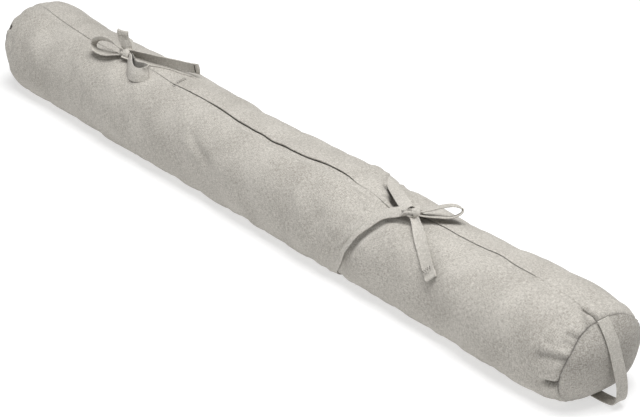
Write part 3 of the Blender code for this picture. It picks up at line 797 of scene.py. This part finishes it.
@dataclass
class FilledTube:
    """The filled cover with its lapped closure."""

    stuffing: Stuffing
    plain_step: float = 3.2
    fine_step: float = 1.5
    around: int = 140

    def places(self) -> Array:
        """Rings along the tube: close at the seams and at the near tie."""
        spans = ((FAR_END.seam_x, -418.0), (112.0, 222.0), (402.0, NEAR_END.seam_x))
        here, found = FAR_END.seam_x, []
        while here < NEAR_END.seam_x - self.fine_step / 2:
            found.append(here)
            fine = any(low - 1e-6 <= here < high for low, high in spans)
            here += self.fine_step if fine else self.plain_step
        return np.array(found + [NEAR_END.seam_x])

    def columns(self) -> list[tuple[float, float, float]]:
        """Columns round the tube as (offset from the lap, share of its lip, of its groove)."""
        lap = [(-6.0, 0.0, 0.0), (-4.0, 0.0, 0.0), (-2.2, 0.0, 0.0), (-1.1, 0.0, 0.03),
               (-0.3, 0.0, 0.2), (0.7, 0.0, 0.75), (1.9, 0.0, 1.0), (2.6, 0.0, 0.85),
               (1.9, 0.12, 0.2), (0.9, 0.18, 0.05), (0.25, 0.3, 0.0), (0.0, 0.62, 0.0),
               (0.2, 0.92, 0.0), (0.8, 1.04, 0.0), (1.8, 1.06, 0.0), (3.2, 1.0, 0.0),
               (5.0, 0.96, 0.0)]
        start, end = lap[-1][0], 360.0 + lap[0][0]
        spread = []
        for index in range(1, self.around):
            offset = start + (end - start) * index / self.around
            fade = 1.0 - float(soft_step(np.array((offset - 4.0) / 26.0)))
            spread.append((offset, 0.96 * fade, 0.0))
        return lap + spread

    def surface(self, x: Array, angle: Array) -> Array:
        """Height above the smooth tube of everything but the lap."""
        height = TUBE.seam_puckers(x, angle) - TUBE.crease_depth(x, angle)
        aside, _ = TUBE.beside_tie(x, angle)
        # The tie gathers short pleats on both of its sides
        pleats = np.sin(np.radians(angle) * 19 + 1.7 * np.sin(np.radians(angle) * 5))
        beside = np.exp(-((np.abs(aside) - 16.0) / 8.0) ** 2)
        height = height + 0.45 * pleats * beside
        round_x = np.cos(np.radians(angle)) * TUBE.girth_radius
        round_y = np.sin(np.radians(angle)) * TUBE.girth_radius
        height = height + 1.1 * field_noise(x * 0.8 + round_x, round_y - x * 0.3, 36.0, 2.0)
        height = height + 0.45 * field_noise(x * 0.7 + round_x, round_y, 13.0, 5.0)
        beyond = (angle - TUBE.closure(x)) / 22.0
        height = height + self.stuffing(x, angle) * (1.0 - 0.8 * np.exp(-beyond ** 2))
        free = soft_step((np.abs(aside) - 6.5) / 6.0)
        held = TUBE.tie_trough(x, angle) < -0.5
        return height * np.where(held, free, 1.0) + TUBE.tie_trough(x, angle)

    def build(self) -> bpy.types.Object:
        """Model the cover.

        Returns:
            The closed cover.
        """
        places = self.places()
        columns = self.columns()
        offsets = np.array([column[0] for column in columns])
        lip_share = np.array([column[1] for column in columns])
        groove_share = np.array([column[2] for column in columns])
        x = np.repeat(places[:, None], len(columns), axis=1)
        opened = np.clip(TUBE.lip(places), 0.0, 1.0)
        wander = 0.7 * field_noise(places, places * 0.0, 17.0, 9.0) * opened
        angle = (TUBE.closure(places) + wander)[:, None] + offsets[None, :]
        lip = TUBE.lip(places) + 0.6 * field_noise(places, places * 0.0, 17.0, 4.0) * opened
        lip = np.clip(lip, 0.0, None)[:, None] * lip_share
        groove = TUBE.groove(places)[:, None] * groove_share
        # Where the lap is sewn flat its edge is one cloth's thickness high
        sewn = 0.35 * np.clip(TUBE.groove(places), 0.0, 1.0) * (1.0 - opened)
        edge = sewn[:, None] * lip_share * np.where(offsets < 12.0, 1.0, 0.0)
        edge = edge * (1.0 - soft_step((offsets - 2.0) / 8.0))
        height = self.surface(x, angle) + lip - groove + edge
        points = TUBE.plain(x, angle) + TUBE.outward(x, angle) * height[..., None]
        points[..., 2] = np.maximum(points[..., 2], 0.0)
        rings = [self.tuck(FAR_END, angle[0]), points, self.tuck(NEAR_END, angle[-1])[::-1]]
        rows = np.concatenate(rings)
        # Painted shade in the closure's fold: deeper fold, darker colour, with a little random
        # variation
        closure_shade = np.clip(TUBE.groove(places) / 1.5, 0.0, 1.0)
        closure_shade = closure_shade * (0.70 + 0.4 * field_noise(places, places * 0.0, 11.0, 12.0))
        fold = np.maximum(TUBE.fold_shade(x, angle),
                          np.clip(closure_shade[:, None] * groove_share, 0.0, 1.0))
        fold = np.concatenate([fold[:1], fold[:1], fold, fold[-1:], fold[-1:]])
        arc = np.radians(offsets) * TUBE.girth_radius
        arc = np.append(arc, math.radians(360.0) * TUBE.girth_radius)
        along = np.concatenate([[places[0] - 6, places[0] - 3], places,
                                [places[-1] + 3, places[-1] + 6]])
        weave = np.stack(np.broadcast_arrays(along[:, None], arc[None, :]), axis=-1)
        thing = grid_object("filled_cover", rows, weave, True, fold)
        close_ends(thing)
        return thing

    def bar_tack(self) -> Array:
        """Zigzag stitches that stop the closure's opening at its far end.

        Returns:
            The thread's points, mm.
        """
        count = 15
        angle = np.linspace(74.5, 94.0, count)
        x = np.linspace(-155.0, -160.5, count) + np.where(np.arange(count) % 2, 2.4, -2.4)
        beyond = soft_step((angle - TUBE.closure(x)) / 1.5)
        height = self.surface(x, angle) + TUBE.lip(x) * beyond + 0.35
        return TUBE.plain(x, angle) + TUBE.outward(x, angle) * height[:, None]

    @staticmethod
    def tuck(end: End, angles: Array) -> Array:
        """Rings that turn the cloth in behind an end panel, from the inside out."""
        deep = end_ring(end, angles, 0.86, -6.0)
        shallow = end_ring(end, angles, 0.94, -2.4)
        return np.stack([deep, shallow])


@dataclass
class EndPanel:
    """Round domed panel sewn into one end of the cover."""

    name: str
    node: str
    end: End
    around: int = 120
    thickness: float = 1.2

    def height(self, scale: Array, angles: Array) -> Array:
        """Radial rise of the rim's gathers."""
        ripple = np.sin(np.radians(angles) * 31 + 2.2 * np.sin(np.radians(angles) * 7))
        ripple = ripple * (0.6 + 0.4 * np.sin(np.radians(angles) * 5 + self.end.side))
        return 0.5 * ripple * np.exp(-(1.0 - scale) * TUBE.girth_radius / 8.0)

    def build(self) -> bpy.types.Object:
        """Model the panel.

        Returns:
            The domed sheet with its thickness.
        """
        scales = np.array([0.972, 0.984, 0.990, 0.985, 0.972, 0.95, 0.92, 0.88, 0.83, 0.77,
                           0.70, 0.62, 0.53, 0.44, 0.35, 0.26, 0.17, 0.08, 0.02])
        angles = np.arange(self.around) * 360.0 / self.around
        rows = []
        for index, scale in enumerate(scales):
            push = self.end.bulge * (1.0 - scale ** TUBE.dome_power)
            if index < 2:
                push = (-1.6, -0.5)[index]
            ring = end_ring(self.end, angles, scale, push)
            middle = ring.mean(axis=0)
            away = unit(ring - middle)
            ring = ring + away * self.height(scale, angles)[:, None]
            dents = 1.6 * field_noise(ring[:, 1], ring[:, 2], 26.0, 3.0 + self.end.side)
            dents = dents + 0.6 * field_noise(ring[:, 1], ring[:, 2], 11.0, 7.0)
            ring[:, 0] += self.end.side * dents * math.sin(math.pi * min(scale, 1.0))
            ring[:, 2] = np.maximum(ring[:, 2], 0.4)
            rows.append(ring)
        rows = np.array(rows)
        weave = np.concatenate([rows[..., 1:], rows[:, :1, 1:]], axis=1)
        # Painted shade on the panel's rim rows, darkest at the seam
        fold = np.repeat(np.array([0.9, 0.8, 0.45, 0.12])[:, None], self.around, axis=1)
        fold = np.pad(fold, ((0, len(rows) - len(fold)), (0, 0)))
        thing = grid_object(self.name, rows, weave, True, fold)
        close_ends(thing)
        self.open_back(thing)
        return thing

    def open_back(self, thing: bpy.types.Object) -> None:
        """Open the closed dome again at its seam, then give the cloth its thickness."""
        mesh = thing.data
        select_only(thing)
        bpy.ops.object.mode_set(mode="EDIT")
        bpy.ops.mesh.select_all(action="DESELECT")
        bpy.ops.object.mode_set(mode="OBJECT")
        widest = max(mesh.polygons, key=lambda face: len(face.vertices) * 10 + face.area)
        widest.select = True
        bpy.ops.object.mode_set(mode="EDIT")
        bpy.ops.mesh.delete(type="FACE")
        bpy.ops.object.mode_set(mode="OBJECT")
        solid = thing.modifiers.new("thickness", "SOLIDIFY")
        solid.thickness = self.thickness * MM
        solid.offset = -1.0
        apply_modifiers(thing)
        mesh.shade_smooth()


def smooth_path(middles: Array, acrosses: Array, step: float) -> tuple[Array, Array]:
    """Even places on a smooth curve through a few points.

    Args:
        middles: points to pass through, mm.
        acrosses: direction across the tape at each.
        step: distance between the places, mm.

    Returns:
        The places and the directions across there.
    """
    count = len(middles)
    before = middles[np.maximum(np.arange(count - 1) - 1, 0)]
    after = middles[np.minimum(np.arange(count - 1) + 2, count - 1)]
    dense, sides = [], []
    for index in range(count - 1):
        start, end = middles[index], middles[index + 1]
        t = np.linspace(0.0, 1.0, 24, endpoint=index == count - 2)[:, None]
        pull_start, pull_end = (end - before[index]) / 2, (after[index] - start) / 2
        dense.append(start * (2 * t ** 3 - 3 * t ** 2 + 1) + end * (3 * t ** 2 - 2 * t ** 3)
                     + pull_start * (t ** 3 - 2 * t ** 2 + t) + pull_end * (t ** 3 - t ** 2))
        sides.append(acrosses[index] * (1 - t) + acrosses[index + 1] * t)
    points, sides = np.concatenate(dense), np.concatenate(sides)
    walked = np.concatenate([[0], np.cumsum(np.linalg.norm(np.diff(points, axis=0), axis=1))])
    at = np.linspace(0.0, walked[-1], max(4, int(walked[-1] / step)))
    points = np.stack([np.interp(at, walked, points[:, k]) for k in range(3)], axis=1)
    sides = np.stack([np.interp(at, walked, sides[:, k]) for k in range(3)], axis=1)
    return points, sides


@dataclass
class Tape:
    """A flat linen tape along a path."""

    name: str
    middles: Array
    acrosses: Array
    width: float = 12.4
    thickness: float = 1.15
    cup: float = 0.5
    seed: float = 0.0
    hem: float = 0.0
    hem_side: float = 1.0
    pinch_start: float = 1.0
    pinch_end: float = 1.0
    pinch_reach: float = 9.0
    step: float = 1.8
    # Share of the length, from and to, coloured with painted shade, as on the inside of a loop
    shaded: tuple[float, float] = (2.0, 2.0)
    held: Held = Held.LAID
    rests_on: tuple[str, ...] = ("filled_cover",)

    columns = (-1.0, -0.9, -0.72, -0.62, -0.3, 0.0, 0.3, 0.62, 0.72, 0.9, 1.0)

    def build(self) -> bpy.types.Object:
        """Model the tape.

        Returns:
            The tape with its thickness and its end folded under where it has a hem.
        """
        points, sides = smooth_path(self.middles, self.acrosses, self.step)
        points, sides = self.with_hem(points, sides)
        along = unit(np.gradient(points, axis=0))
        across = unit(sides - along * (sides * along).sum(axis=1, keepdims=True))
        normal = np.cross(along, across)
        shares = np.array(self.columns)
        walked = np.concatenate([[0], np.cumsum(np.linalg.norm(np.diff(points, axis=0), axis=1))])
        self.length = float(walked[-1])
        wave = field_noise(walked[:, None], shares[None, :] * 9.0, 13.0, self.seed)
        full = self.fullness(walked)
        cup = self.cup + (1.0 - full) * 5.0
        lift = cup[:, None] * (shares ** 2 - 0.4)[None, :] + 0.4 * wave
        drift = 0.35 * field_noise(walked, walked * 0.0, 19.0, self.seed + 3.0)
        half = self.width / 2 - self.thickness / 4
        aside = shares[None, :] * half * full[:, None] + drift[:, None]
        rows = (points[:, None, :] + across[:, None, :] * aside[..., None]
                + normal[:, None, :] * lift[..., None])
        rows[..., 2] = np.maximum(rows[..., 2], self.thickness / 2 + 0.05)
        weave = np.stack(np.broadcast_arrays(walked[:, None] + self.seed * 31.0,
                                             shares[None, :] * half), axis=-1)
        self.normal_end, self.across_end, self.tip = normal[self.tip_row], across[self.tip_row], \
            points[self.tip_row]
        share = walked / walked[-1]
        # Painted shade over the shaded share of the length
        inside = soft_step((share - self.shaded[0]) / 0.06)
        inside = 0.7 * inside * soft_step((self.shaded[1] - share) / 0.06)
        fold = np.repeat(inside[:, None], len(shares), axis=1)
        thing = grid_object(self.name, rows, weave, False, fold)
        solid = thing.modifiers.new("thickness", "SOLIDIFY")
        solid.thickness = self.thickness * MM
        solid.offset = 0.0
        smooth = thing.modifiers.new("smooth", "SUBSURF")
        smooth.levels = 1
        smooth.render_levels = 1
        apply_modifiers(thing)
        thing.data.shade_smooth()
        return thing

    def fullness(self, walked: Array) -> Array:
        """Share of its width that the tape keeps where a knot gathers its ends."""
        start = 1.0 - (1.0 - self.pinch_start) * (1.0 - soft_step(walked / self.pinch_reach))
        left = (walked[-1] - walked) / self.pinch_reach
        return start * (1.0 - (1.0 - self.pinch_end) * (1.0 - soft_step(left)))

    def with_hem(self, points: Array, sides: Array) -> tuple[Array, Array]:
        """Fold the end of the tape under itself where it has a hem."""
        self.tip_row = len(points) - 1
        if self.hem <= 0.0:
            return points, sides
        along = unit(points[-1] - points[-2])
        across = unit(sides[-1] - along * (sides[-1] @ along))
        under = -np.cross(along, across) * self.hem_side
        drop = self.thickness + 0.15
        turn = [points[-1] + along * 0.7 + under * drop * 0.5]
        back = [points[-1] + under * drop - along * go
                for go in np.arange(0.0, self.hem, self.step)]
        extra = np.array(turn + back)
        return (np.concatenate([points, extra]),
                np.concatenate([sides, np.repeat(sides[-1:], len(extra), axis=0)]))

    def stitches(self, back: float, reach: float, count: int, lift: float) -> Array:
        """Zigzag stitches across the tape near its end.

        Args:
            back: distance of the row from the end, mm.
            reach: half the height of the zigzag, mm.
            count: number of its points.
            lift: height of the thread over the middle of the tape, mm.

        Returns:
            The thread's points, mm.
        """
        normal, across = self.normal_end, self.across_end
        along = np.cross(across, normal)
        aside = np.linspace(-0.36, 0.36, count) * self.width
        swing = np.where(np.arange(count) % 2, reach, -reach)
        return (self.tip - along * back + across * aside[:, None] + along * swing[:, None]
                + normal * lift)

    def declare(self, thing: bpy.types.Object) -> None:
        """Work out the tape's cut width and area, without keeping them."""
        cut = max(self.width, 10.4)
        area = None if cut == self.width else self.width * self.length * MM * MM
        cut * MM


def rows_path(*rows: tuple[float, ...]) -> tuple[Array, Array]:
    """Split rows of (x, y, z, across x, across y, across z) into places and directions."""
    table = np.array(rows, float)
    return table[:, :3], table[:, 3:]


def wrap_path(wraps: Sequence[Wrap], step_angle: float,
              cover: FilledTube | None = None) -> tuple[Array, Array]:
    """Places and across directions of a strap that follows the tube.

    Args:
        wraps: the strap's table.
        step_angle: how close the places are, degrees round the tube.
        cover: the cover whose creases the strap follows, where it is sewn flat.

    Returns:
        The middles, mm, and the directions across.
    """
    start, end = wraps[0].angle, wraps[-1].angle
    angles = np.linspace(start, end, max(3, round(abs(end - start) / step_angle) + 1))
    x, sunk, roll = (Curve(wraps, "angle", key)(angles) for key in ("x", "sunk", "roll"))
    normal = TUBE.outward(x, angles)
    if cover is not None:
        sunk = sunk - cover.surface(x, angles)
    middles = TUBE.plain(x, angles) - normal * sunk[:, None]
    along = unit(np.gradient(middles, axis=0))
    side = unit(np.cross(along, normal))
    turn = np.radians(roll)[:, None]
    return middles, side * np.cos(turn) + normal * np.sin(turn)


@dataclass
class HangingLoop:
    """Tape loop sewn into the near end seam."""

    def build(self, linen: bpy.types.Material) -> None:
        """Model and dress the loop."""
        middles, acrosses = rows_path(
            (437.9, -4, 82.6, 0.04, 1, 0), (440.9, -4, 79.5, 0.04, 1, 0),
            (445.5, -4, 73.9, 0.04, 1, 0), (450.4, -3.5, 65.1, 0.04, 1, 0),
            (454.4, -2.5, 53.4, 0.04, 1, 0), (457.6, -1, 41.8, 0.04, 1, 0),
            (459.8, 0.5, 30.6, 0.04, 1, 0), (460.4, 2, 19.0, 0.04, 1, 0),
            (458.4, 3, 9.6, 0.04, 1, 0), (453.8, 4, 4.2, 0.04, 1, 0),
            (447.0, 4.5, 2.1, 0.04, 1, 0), (438.0, 5, 1.1, 0.04, 1, 0),
            (428.6, 5, 0.8, 0.04, 1, 0))
        tape = Tape("hanging_tape", middles, acrosses, width=13.6, cup=0.3, seed=1.0,
                    held=Held.HUNG, rests_on=("near_panel_cloth",))
        thing = tape.build()
        dress(thing, linen, ["hanging_loop"])
        tape.declare(thing)


@dataclass
class Stitching:
    """A line of sewing thread through given points."""

    name: str
    points: Array
    radius: float = 0.24

    def build(self, thread: bpy.types.Material, slot: Slot) -> None:
        """Model and dress the thread."""
        data = bpy.data.curves.new(self.name, "CURVE")
        data.dimensions = "3D"
        spline = data.splines.new("POLY")
        spline.points.add(len(self.points) - 1)
        for place, point in zip(spline.points, self.points):
            place.co = ((point[0] + SHIFT_X) * MM, point[1] * MM, point[2] * MM, 1.0)
        data.bevel_depth = self.radius * MM
        data.bevel_resolution = 2
        data.use_fill_caps = True
        thing = bpy.data.objects.new(self.name, data)
        bpy.context.scene.collection.objects.link(thing)
        select_only(thing)
        bpy.ops.object.convert(target="MESH")
        thing.data.shade_smooth()
        dress(thing, thread)


@dataclass
class Knot:
    """The pulled crossing of a tie: a crumpled core, a band round it and a turn on top."""

    name: str
    centre: tuple[float, float, float]
    half_sizes: tuple[float, float, float]
    turn: float
    band_radius: tuple[float, float]
    band_shift: float
    seed: float
    top_turn: tuple[tuple[float, ...], ...] = ()

    def core(self) -> bpy.types.Object:
        """Model the crumpled core from a round primitive."""
        bpy.ops.object.select_all(action="DESELECT")
        bpy.ops.mesh.primitive_uv_sphere_add(segments=48, ring_count=28, radius=MM)
        thing = bpy.context.active_object
        thing.name = self.name + "_core"
        mesh = thing.data
        mesh.uv_layers.active.name = WEAVE_MAP
        flat = np.zeros(len(mesh.loops) * 2, np.float32)
        mesh.uv_layers.active.data.foreach_get("uv", flat)
        mesh.uv_layers.active.data.foreach_set("uv", flat * 0.03)
        turn = Matrix.Rotation(math.radians(self.turn), 3, "Z")
        painted_crease_shade = []
        for vertex in mesh.vertices:
            spot = vertex.co / MM
            crease = math.sin(spot.y * 7 + spot.z * 5 + 1.2 * math.sin(spot.x * 3) + self.seed)
            fold = 0.11 * crease + 0.15 * noise.noise(spot * 1.8 + Vector((self.seed, 0, 0)))
            # Painted shade in the troughs of the crumpled creases
            painted_crease_shade.append(max(0.0, -crease) ** 2 * 0.5)
            spot = spot * (1.0 + fold)
            sized = Vector([a * b for a, b in zip(spot, self.half_sizes)])
            vertex.co = (turn @ sized + Vector(self.centre) + Vector((SHIFT_X, 0, 0))) * MM
        mesh.attributes.new(PAINTED_SHADE, "FLOAT", "POINT").data.foreach_set("value", painted_crease_shade)
        mesh.shade_smooth()
        return thing

    def band(self) -> Tape:
        """The tape that goes round the crossing."""
        facing = math.radians(self.turn)
        ahead = np.array([math.cos(facing), math.sin(facing), 0.0])
        side = np.array([-math.sin(facing), math.cos(facing), 0.0])
        up = np.array([0.0, 0.0, 1.0])
        middle = np.array(self.centre) + ahead * self.band_shift
        turns = np.radians(np.linspace(-165.0, 205.0, 17))
        wide, high = self.band_radius
        middles = np.array([middle + side * wide * math.cos(a) + up * high * math.sin(a)
                            + ahead * 1.9 * (a / math.pi) for a in turns])
        acrosses = np.repeat(ahead[None, :] * 1.0 + up[None, :] * 0.12, len(turns), axis=0)
        acrosses = acrosses + side[None, :] * 0.25 * np.sin(turns)[:, None]
        return Tape(self.name + "_band", middles, acrosses, width=8.0, thickness=0.95, cup=-0.9,
                    seed=self.seed, step=0.9, pinch_start=0.7, pinch_end=0.7, pinch_reach=6.0,
                    held=Held.FOLDED, rests_on=(self.name + "_core",))

    def build(self, linen: bpy.types.Material) -> None:
        """Model and dress the knot."""
        core = self.core()
        dress(core, linen)
        tapes = [self.band()]
        if self.top_turn:
            middles, acrosses = rows_path(*self.top_turn)
            tapes.append(Tape(self.name + "_turn", middles, acrosses, width=5.4, thickness=0.9,
                              cup=0.2, seed=self.seed + 0.5, step=0.9, held=Held.FOLDED,
                              rests_on=(self.name + "_core",)))
        for tape in tapes:
            thing = tape.build()
            dress(thing, linen)
            tape.declare(thing)


@dataclass
class NearTie:
    """One tape round the tube, knotted on top, with a loop and a hanging tail."""

    def strands(self) -> list[Tape]:
        """The tie's tapes."""
        loop = rows_path(
            (213.2, -12.8, 93.7, 0.70, -0.62, 0.30), (222.5, -1.8, 96.5, 0.74, -0.62, 0.27),
            (228.2, 5.1, 99.1, 0.75, -0.62, 0.26), (234.0, 12.0, 100.7, 0.75, -0.62, 0.26),
            (238.1, 16.8, 100.2, 0.74, -0.62, 0.28), (241.4, 19.8, 98.0, 0.72, -0.60, 0.34),
            (243.4, 18.4, 95.6, 0.72, -0.60, 0.36), (243.0, 13.3, 93.4, 0.72, -0.60, 0.36),
            (239.7, 5.5, 92.6, 0.73, -0.60, 0.35), (231.0, -2.8, 92.4, 0.73, -0.60, 0.35),
            (222.6, -8.8, 92.4, 0.72, -0.62, 0.33), (213.8, -12.0, 92.2, 0.68, -0.64, 0.32))
        tail = rows_path(
            (213.0, -14.2, 92.6, 0.50, 0.80, 0.30), (222.0, -18.6, 89.8, 0.55, 0.77, 0.30),
            (235.4, -26.4, 85.0, 0.60, 0.68, 0.42), (249.2, -34.6, 78.8, 0.62, 0.58, 0.53),
            (262.4, -41.8, 72.7, 0.62, 0.52, 0.58), (276.2, -49.2, 65.9, 0.60, 0.47, 0.64))
        return [
            Tape("near_tie_strap", *wrap_path(NEAR_WRAP, 5.0), seed=2.0, pinch_start=0.55,
                 pinch_end=0.7, pinch_reach=11.0, held=Held.STRETCHED),
            Tape("near_tie_loop", *loop, seed=3.0, step=1.2, cup=0.25, pinch_start=0.6,
                 pinch_end=0.6, pinch_reach=8.0, held=Held.FOLDED),
            Tape("near_tie_tail", *tail, seed=4.0, hem=8.0, pinch_start=0.6, pinch_reach=34.0,
                 step=1.5),
        ]

    def build(self, linen: bpy.types.Material, thread: bpy.types.Material) -> None:
        """Model and dress the tie."""
        for tape in self.strands():
            thing = tape.build()
            dress(thing, linen, ["near_tie"] if tape.name.endswith("strap") else ())
            tape.declare(thing)
            if tape.hem:
                Stitching("near_tail_hem_stitches", tape.stitches(8.6, 1.5, 9, 0.86), 0.36).build(
                    thread, Slot.TAPE)
        Knot("near_knot", (212.8, -14.2, 94.0), (10.2, 5.6, 4.7), 50.0, (6.2, 5.3), 1.6, 6.0,
             ((209.6, -17.9, 94.8, 0.68, -0.58, 0.44), (210.3, -17.2, 98.2, 0.68, -0.58, 0.44),
              (212.2, -15.3, 100.2, 0.68, -0.58, 0.44), (214.1, -13.2, 99.4, 0.68, -0.58, 0.44),
              (214.9, -12.2, 95.6, 0.68, -0.58, 0.44))).build(linen)


@dataclass
class FarTie:
    """A bow: a large loop, a small one, an upright tab, a long tail and two sewn strands."""

    cover: FilledTube

    def strands(self) -> list[Tape]:
        """The tie's tapes."""
        loop = rows_path(
            (-245.8, -13.0, 99.2, 0.26, -0.70, 0.62), (-255.1, -14.9, 101.4, 0.26, -0.66, 0.70),
            (-262.4, -16.4, 104.2, 0.26, -0.63, 0.74), (-269.9, -18.0, 105.9, 0.26, -0.63, 0.74),
            (-278.7, -19.9, 104.9, 0.28, -0.66, 0.70), (-286.4, -21.5, 101.4, 0.34, -0.72, 0.58),
            (-290.0, -23.0, 97.0, 0.36, -0.80, 0.46), (-288.4, -24.6, 93.4, 0.26, -0.84, 0.44),
            (-281.0, -25.0, 91.4, 0.10, -0.90, 0.20), (-270.0, -23.4, 91.8, 0.04, -0.96, 0.00),
            (-260.0, -19.6, 92.9, 0.06, -0.94, 0.06), (-250.3, -14.8, 94.6, 0.20, -0.84, 0.40))
        small_loop = rows_path(
            (-240.5, -12.0, 97.2, 0.10, 0.10, 0.99), (-231, -18.0, 95.8, 0.12, 0.28, 0.94),
            (-220, -25.8, 92.8, 0.00, 0.42, 0.89), (-209.5, -30.0, 91.0, -0.05, 0.46, 0.87),
            (-199.5, -28.6, 91.4, -0.20, 0.46, 0.85), (-193.5, -22.5, 93.4, -0.35, 0.30, 0.88),
            (-196.0, -19.0, 94.8, -0.25, 0.25, 0.94), (-204, -22.0, 94.6, -0.05, 0.38, 0.92),
            (-213, -23.6, 94.0, 0.00, 0.40, 0.92), (-225, -17.8, 95.8, 0.00, 0.24, 0.97),
            (-240.5, -11.5, 97.0, 0.10, 0.05, 0.99))
        tab = rows_path(
            (-244.5, -11.6, 98.5, 0.80, 0.58, -0.05), (-244.4, -11.5, 105.7, 0.78, 0.62, -0.10),
            (-246.4, -13.0, 112.0, 0.75, 0.63, -0.18), (-247.3, -13.7, 117.8, 0.72, 0.61, -0.28),
            (-246.9, -13.4, 122.4, 0.72, 0.61, -0.30))
        tail = rows_path(
            (-244, -12, 97.8, 0.15, -0.45, 0.88), (-238.8, -10.1, 98.8, 0.12, -0.40, 0.90),
            (-229.1, -6.6, 98.3, 0.06, -0.30, 0.94), (-220.6, -3.5, 97.8, 0.03, -0.24, 0.96),
            (-208.5, 0.8, 97.9, 0.00, -0.18, 0.97), (-196.4, 5.2, 98.3, 0.00, -0.15, 0.98),
            (-184.4, 9.5, 98.4, 0.00, -0.14, 0.98), (-172.5, 13.8, 98.6, 0.00, -0.12, 0.98),
            (-163.0, 17.2, 99.2, 0.00, -0.12, 0.98), (-157.0, 19.4, 99.8, 0.00, -0.12, 0.98))
        return [
            Tape("far_tie_strap", *wrap_path(FAR_STRAP, 6.0, self.cover), seed=7.0),
            Tape("far_tie_root", *wrap_path(FAR_ROOT, 4.0, self.cover), seed=8.0),
            Tape("far_tie_loop", *loop, seed=9.0, step=1.2, cup=0.25, pinch_start=0.75,
                 pinch_end=0.65, pinch_reach=7.0, held=Held.FOLDED),
            Tape("far_tie_small_loop", *small_loop, width=16.0, seed=10.0, step=1.2,
                 cup=-1.2, pinch_start=0.4, pinch_end=0.4, pinch_reach=15.0,
                 shaded=(0.56, 0.97), held=Held.FOLDED),
            Tape("far_tie_tab", *tab, seed=11.0, hem=6.0, pinch_start=0.6, pinch_reach=6.0,
                 step=1.2, cup=0.9, held=Held.FOLDED),
            Tape("far_tie_tail", *tail, seed=12.0, hem=4.5, hem_side=-1.0, pinch_start=0.7,
                 pinch_reach=9.0, cup=0.8),
        ]

    def build(self, linen: bpy.types.Material, thread: bpy.types.Material) -> None:
        """Model and dress the tie."""
        for tape in self.strands():
            thing = tape.build()
            dress(thing, linen, ["far_tie"] if tape.name.endswith("strap") else ())
            tape.declare(thing)
            if tape.name.endswith("tail"):
                # Dark hem stitching, partly real thread and partly painted shadow along the inner
                # edge of the tail's folded hem
                Stitching("far_tail_hem_stitches_as_shadow_line", tape.stitches(4.7, 0.15, 7, 1.95), 0.45).build(
                    thread, Slot.TAPE)
        Knot("far_knot", (-245.0, -13.0, 97.0), (7.0, 5.4, 4.8), 20.0, (5.8, 5.4), 2.6,
             13.0).build(linen)


@dataclass(frozen=True)
class Studio:
    """White floor, soft light and the camera."""

    azimuth: float = 50.40
    elevation: float = 27.99
    target: tuple[float, float, float] = (0.01493, 0.03832, 0.0)
    distance: float = 1.96096
    focal_pixels: float = 1939.2
    frame_width: float = 640.0
    sensor: float = 36.0

    def floor(self) -> None:
        """Model the plain floor."""
        bpy.ops.object.select_all(action="DESELECT")
        bpy.ops.mesh.primitive_plane_add(size=12.0, location=(0.0, 0.0, 0.0))
        plane = bpy.context.active_object
        plane.name = "studio_floor"
        material = bpy.data.materials.new("floor_white")
        material.use_nodes = True
        shader = material.node_tree.nodes["Principled BSDF"]
        shader.inputs["Base Color"].default_value = (0.5, 0.5, 0.5, 1.0)
        shader.inputs["Emission Color"].default_value = (1.0, 1.0, 1.0, 1.0)
        shader.inputs["Emission Strength"].default_value = 0.56
        shader.inputs["Roughness"].default_value = 0.9
        shader.inputs["Specular IOR Level"].default_value = 0.1
        plane.data.materials.append(material)

    def area(self, name: str, place: tuple[float, float, float], size: float,
             power: float) -> None:
        """Add one soft light that faces the middle of the tube."""
        data = bpy.data.lights.new(name, "AREA")
        data.energy = power
        data.size = size
        lamp = bpy.data.objects.new(name, data)
        lamp.location = place
        lamp.rotation_euler = (-Vector(place)).to_track_quat("-Z", "Y").to_euler()
        bpy.context.scene.collection.objects.link(lamp)

    def light(self) -> None:
        """Place the lights and the white surroundings."""
        world = bpy.data.worlds.new("studio_white")
        world.use_nodes = True
        shade = world.node_tree.nodes["Background"]
        shade.inputs[0].default_value = (1.0, 1.0, 1.0, 1.0)
        shade.inputs[1].default_value = 0.25
        bpy.context.scene.world = world
        self.area("overhead_softbox", (0.34, -0.02, 1.95), 1.3, 50.0)
        self.area("front_softbox", (0.35, -2.4, 0.6), 1.8, 8.0)

    def camera(self) -> None:
        """Place the camera at the photograph's viewing angle."""
        turn, rise = math.radians(self.azimuth), math.radians(self.elevation)
        back = Vector((math.sin(turn) * math.cos(rise), -math.cos(turn) * math.cos(rise),
                       math.sin(rise)))
        data = bpy.data.cameras.new("photo_view")
        data.sensor_width = self.sensor
        data.lens = self.focal_pixels / self.frame_width * self.sensor
        eye = bpy.data.objects.new("photo_view", data)
        eye.location = Vector(self.target) + back * self.distance
        eye.rotation_euler = back.to_track_quat("Z", "Y").to_euler()
        bpy.context.scene.collection.objects.link(eye)
        bpy.context.scene.camera = eye

    def build(self) -> None:
        """Set the stage."""
        self.floor()
        self.light()
        self.camera()
        bpy.context.scene.view_settings.view_transform = "Standard"
        LOG.info("set the stage")


def main() -> None:
    """Build every piece in order."""
    logging.basicConfig(level=logging.INFO, format="%(name)s: %(message)s")
    # panel_linen carries painted shade: a darker copy of the cover's linen
    cover_linen, panel_linen = COVER_LINEN.make(), PANEL_LINEN_SHADED.make()
    tape_linen, thread = TAPE_LINEN.make(), THREAD.make()
    tube = FilledTube(Stuffing())
    cover = tube.build()
    dress(cover, cover_linen, ["body"])
    Stitching("closure_end_stitches", tube.bar_tack(), 0.2).build(thread, Slot.BODY)
    for panel in (EndPanel("near_panel_cloth", "end_panel_near", NEAR_END),
                  EndPanel("far_panel_cloth", "end_panel_far", FAR_END)):
        thing = panel.build()
        dress(thing, panel_linen, [panel.node])
    HangingLoop().build(tape_linen)
    NearTie().build(tape_linen, thread)
    FarTie(tube).build(tape_linen, thread)
    Studio().build()


if __name__ == "__main__":
    main()
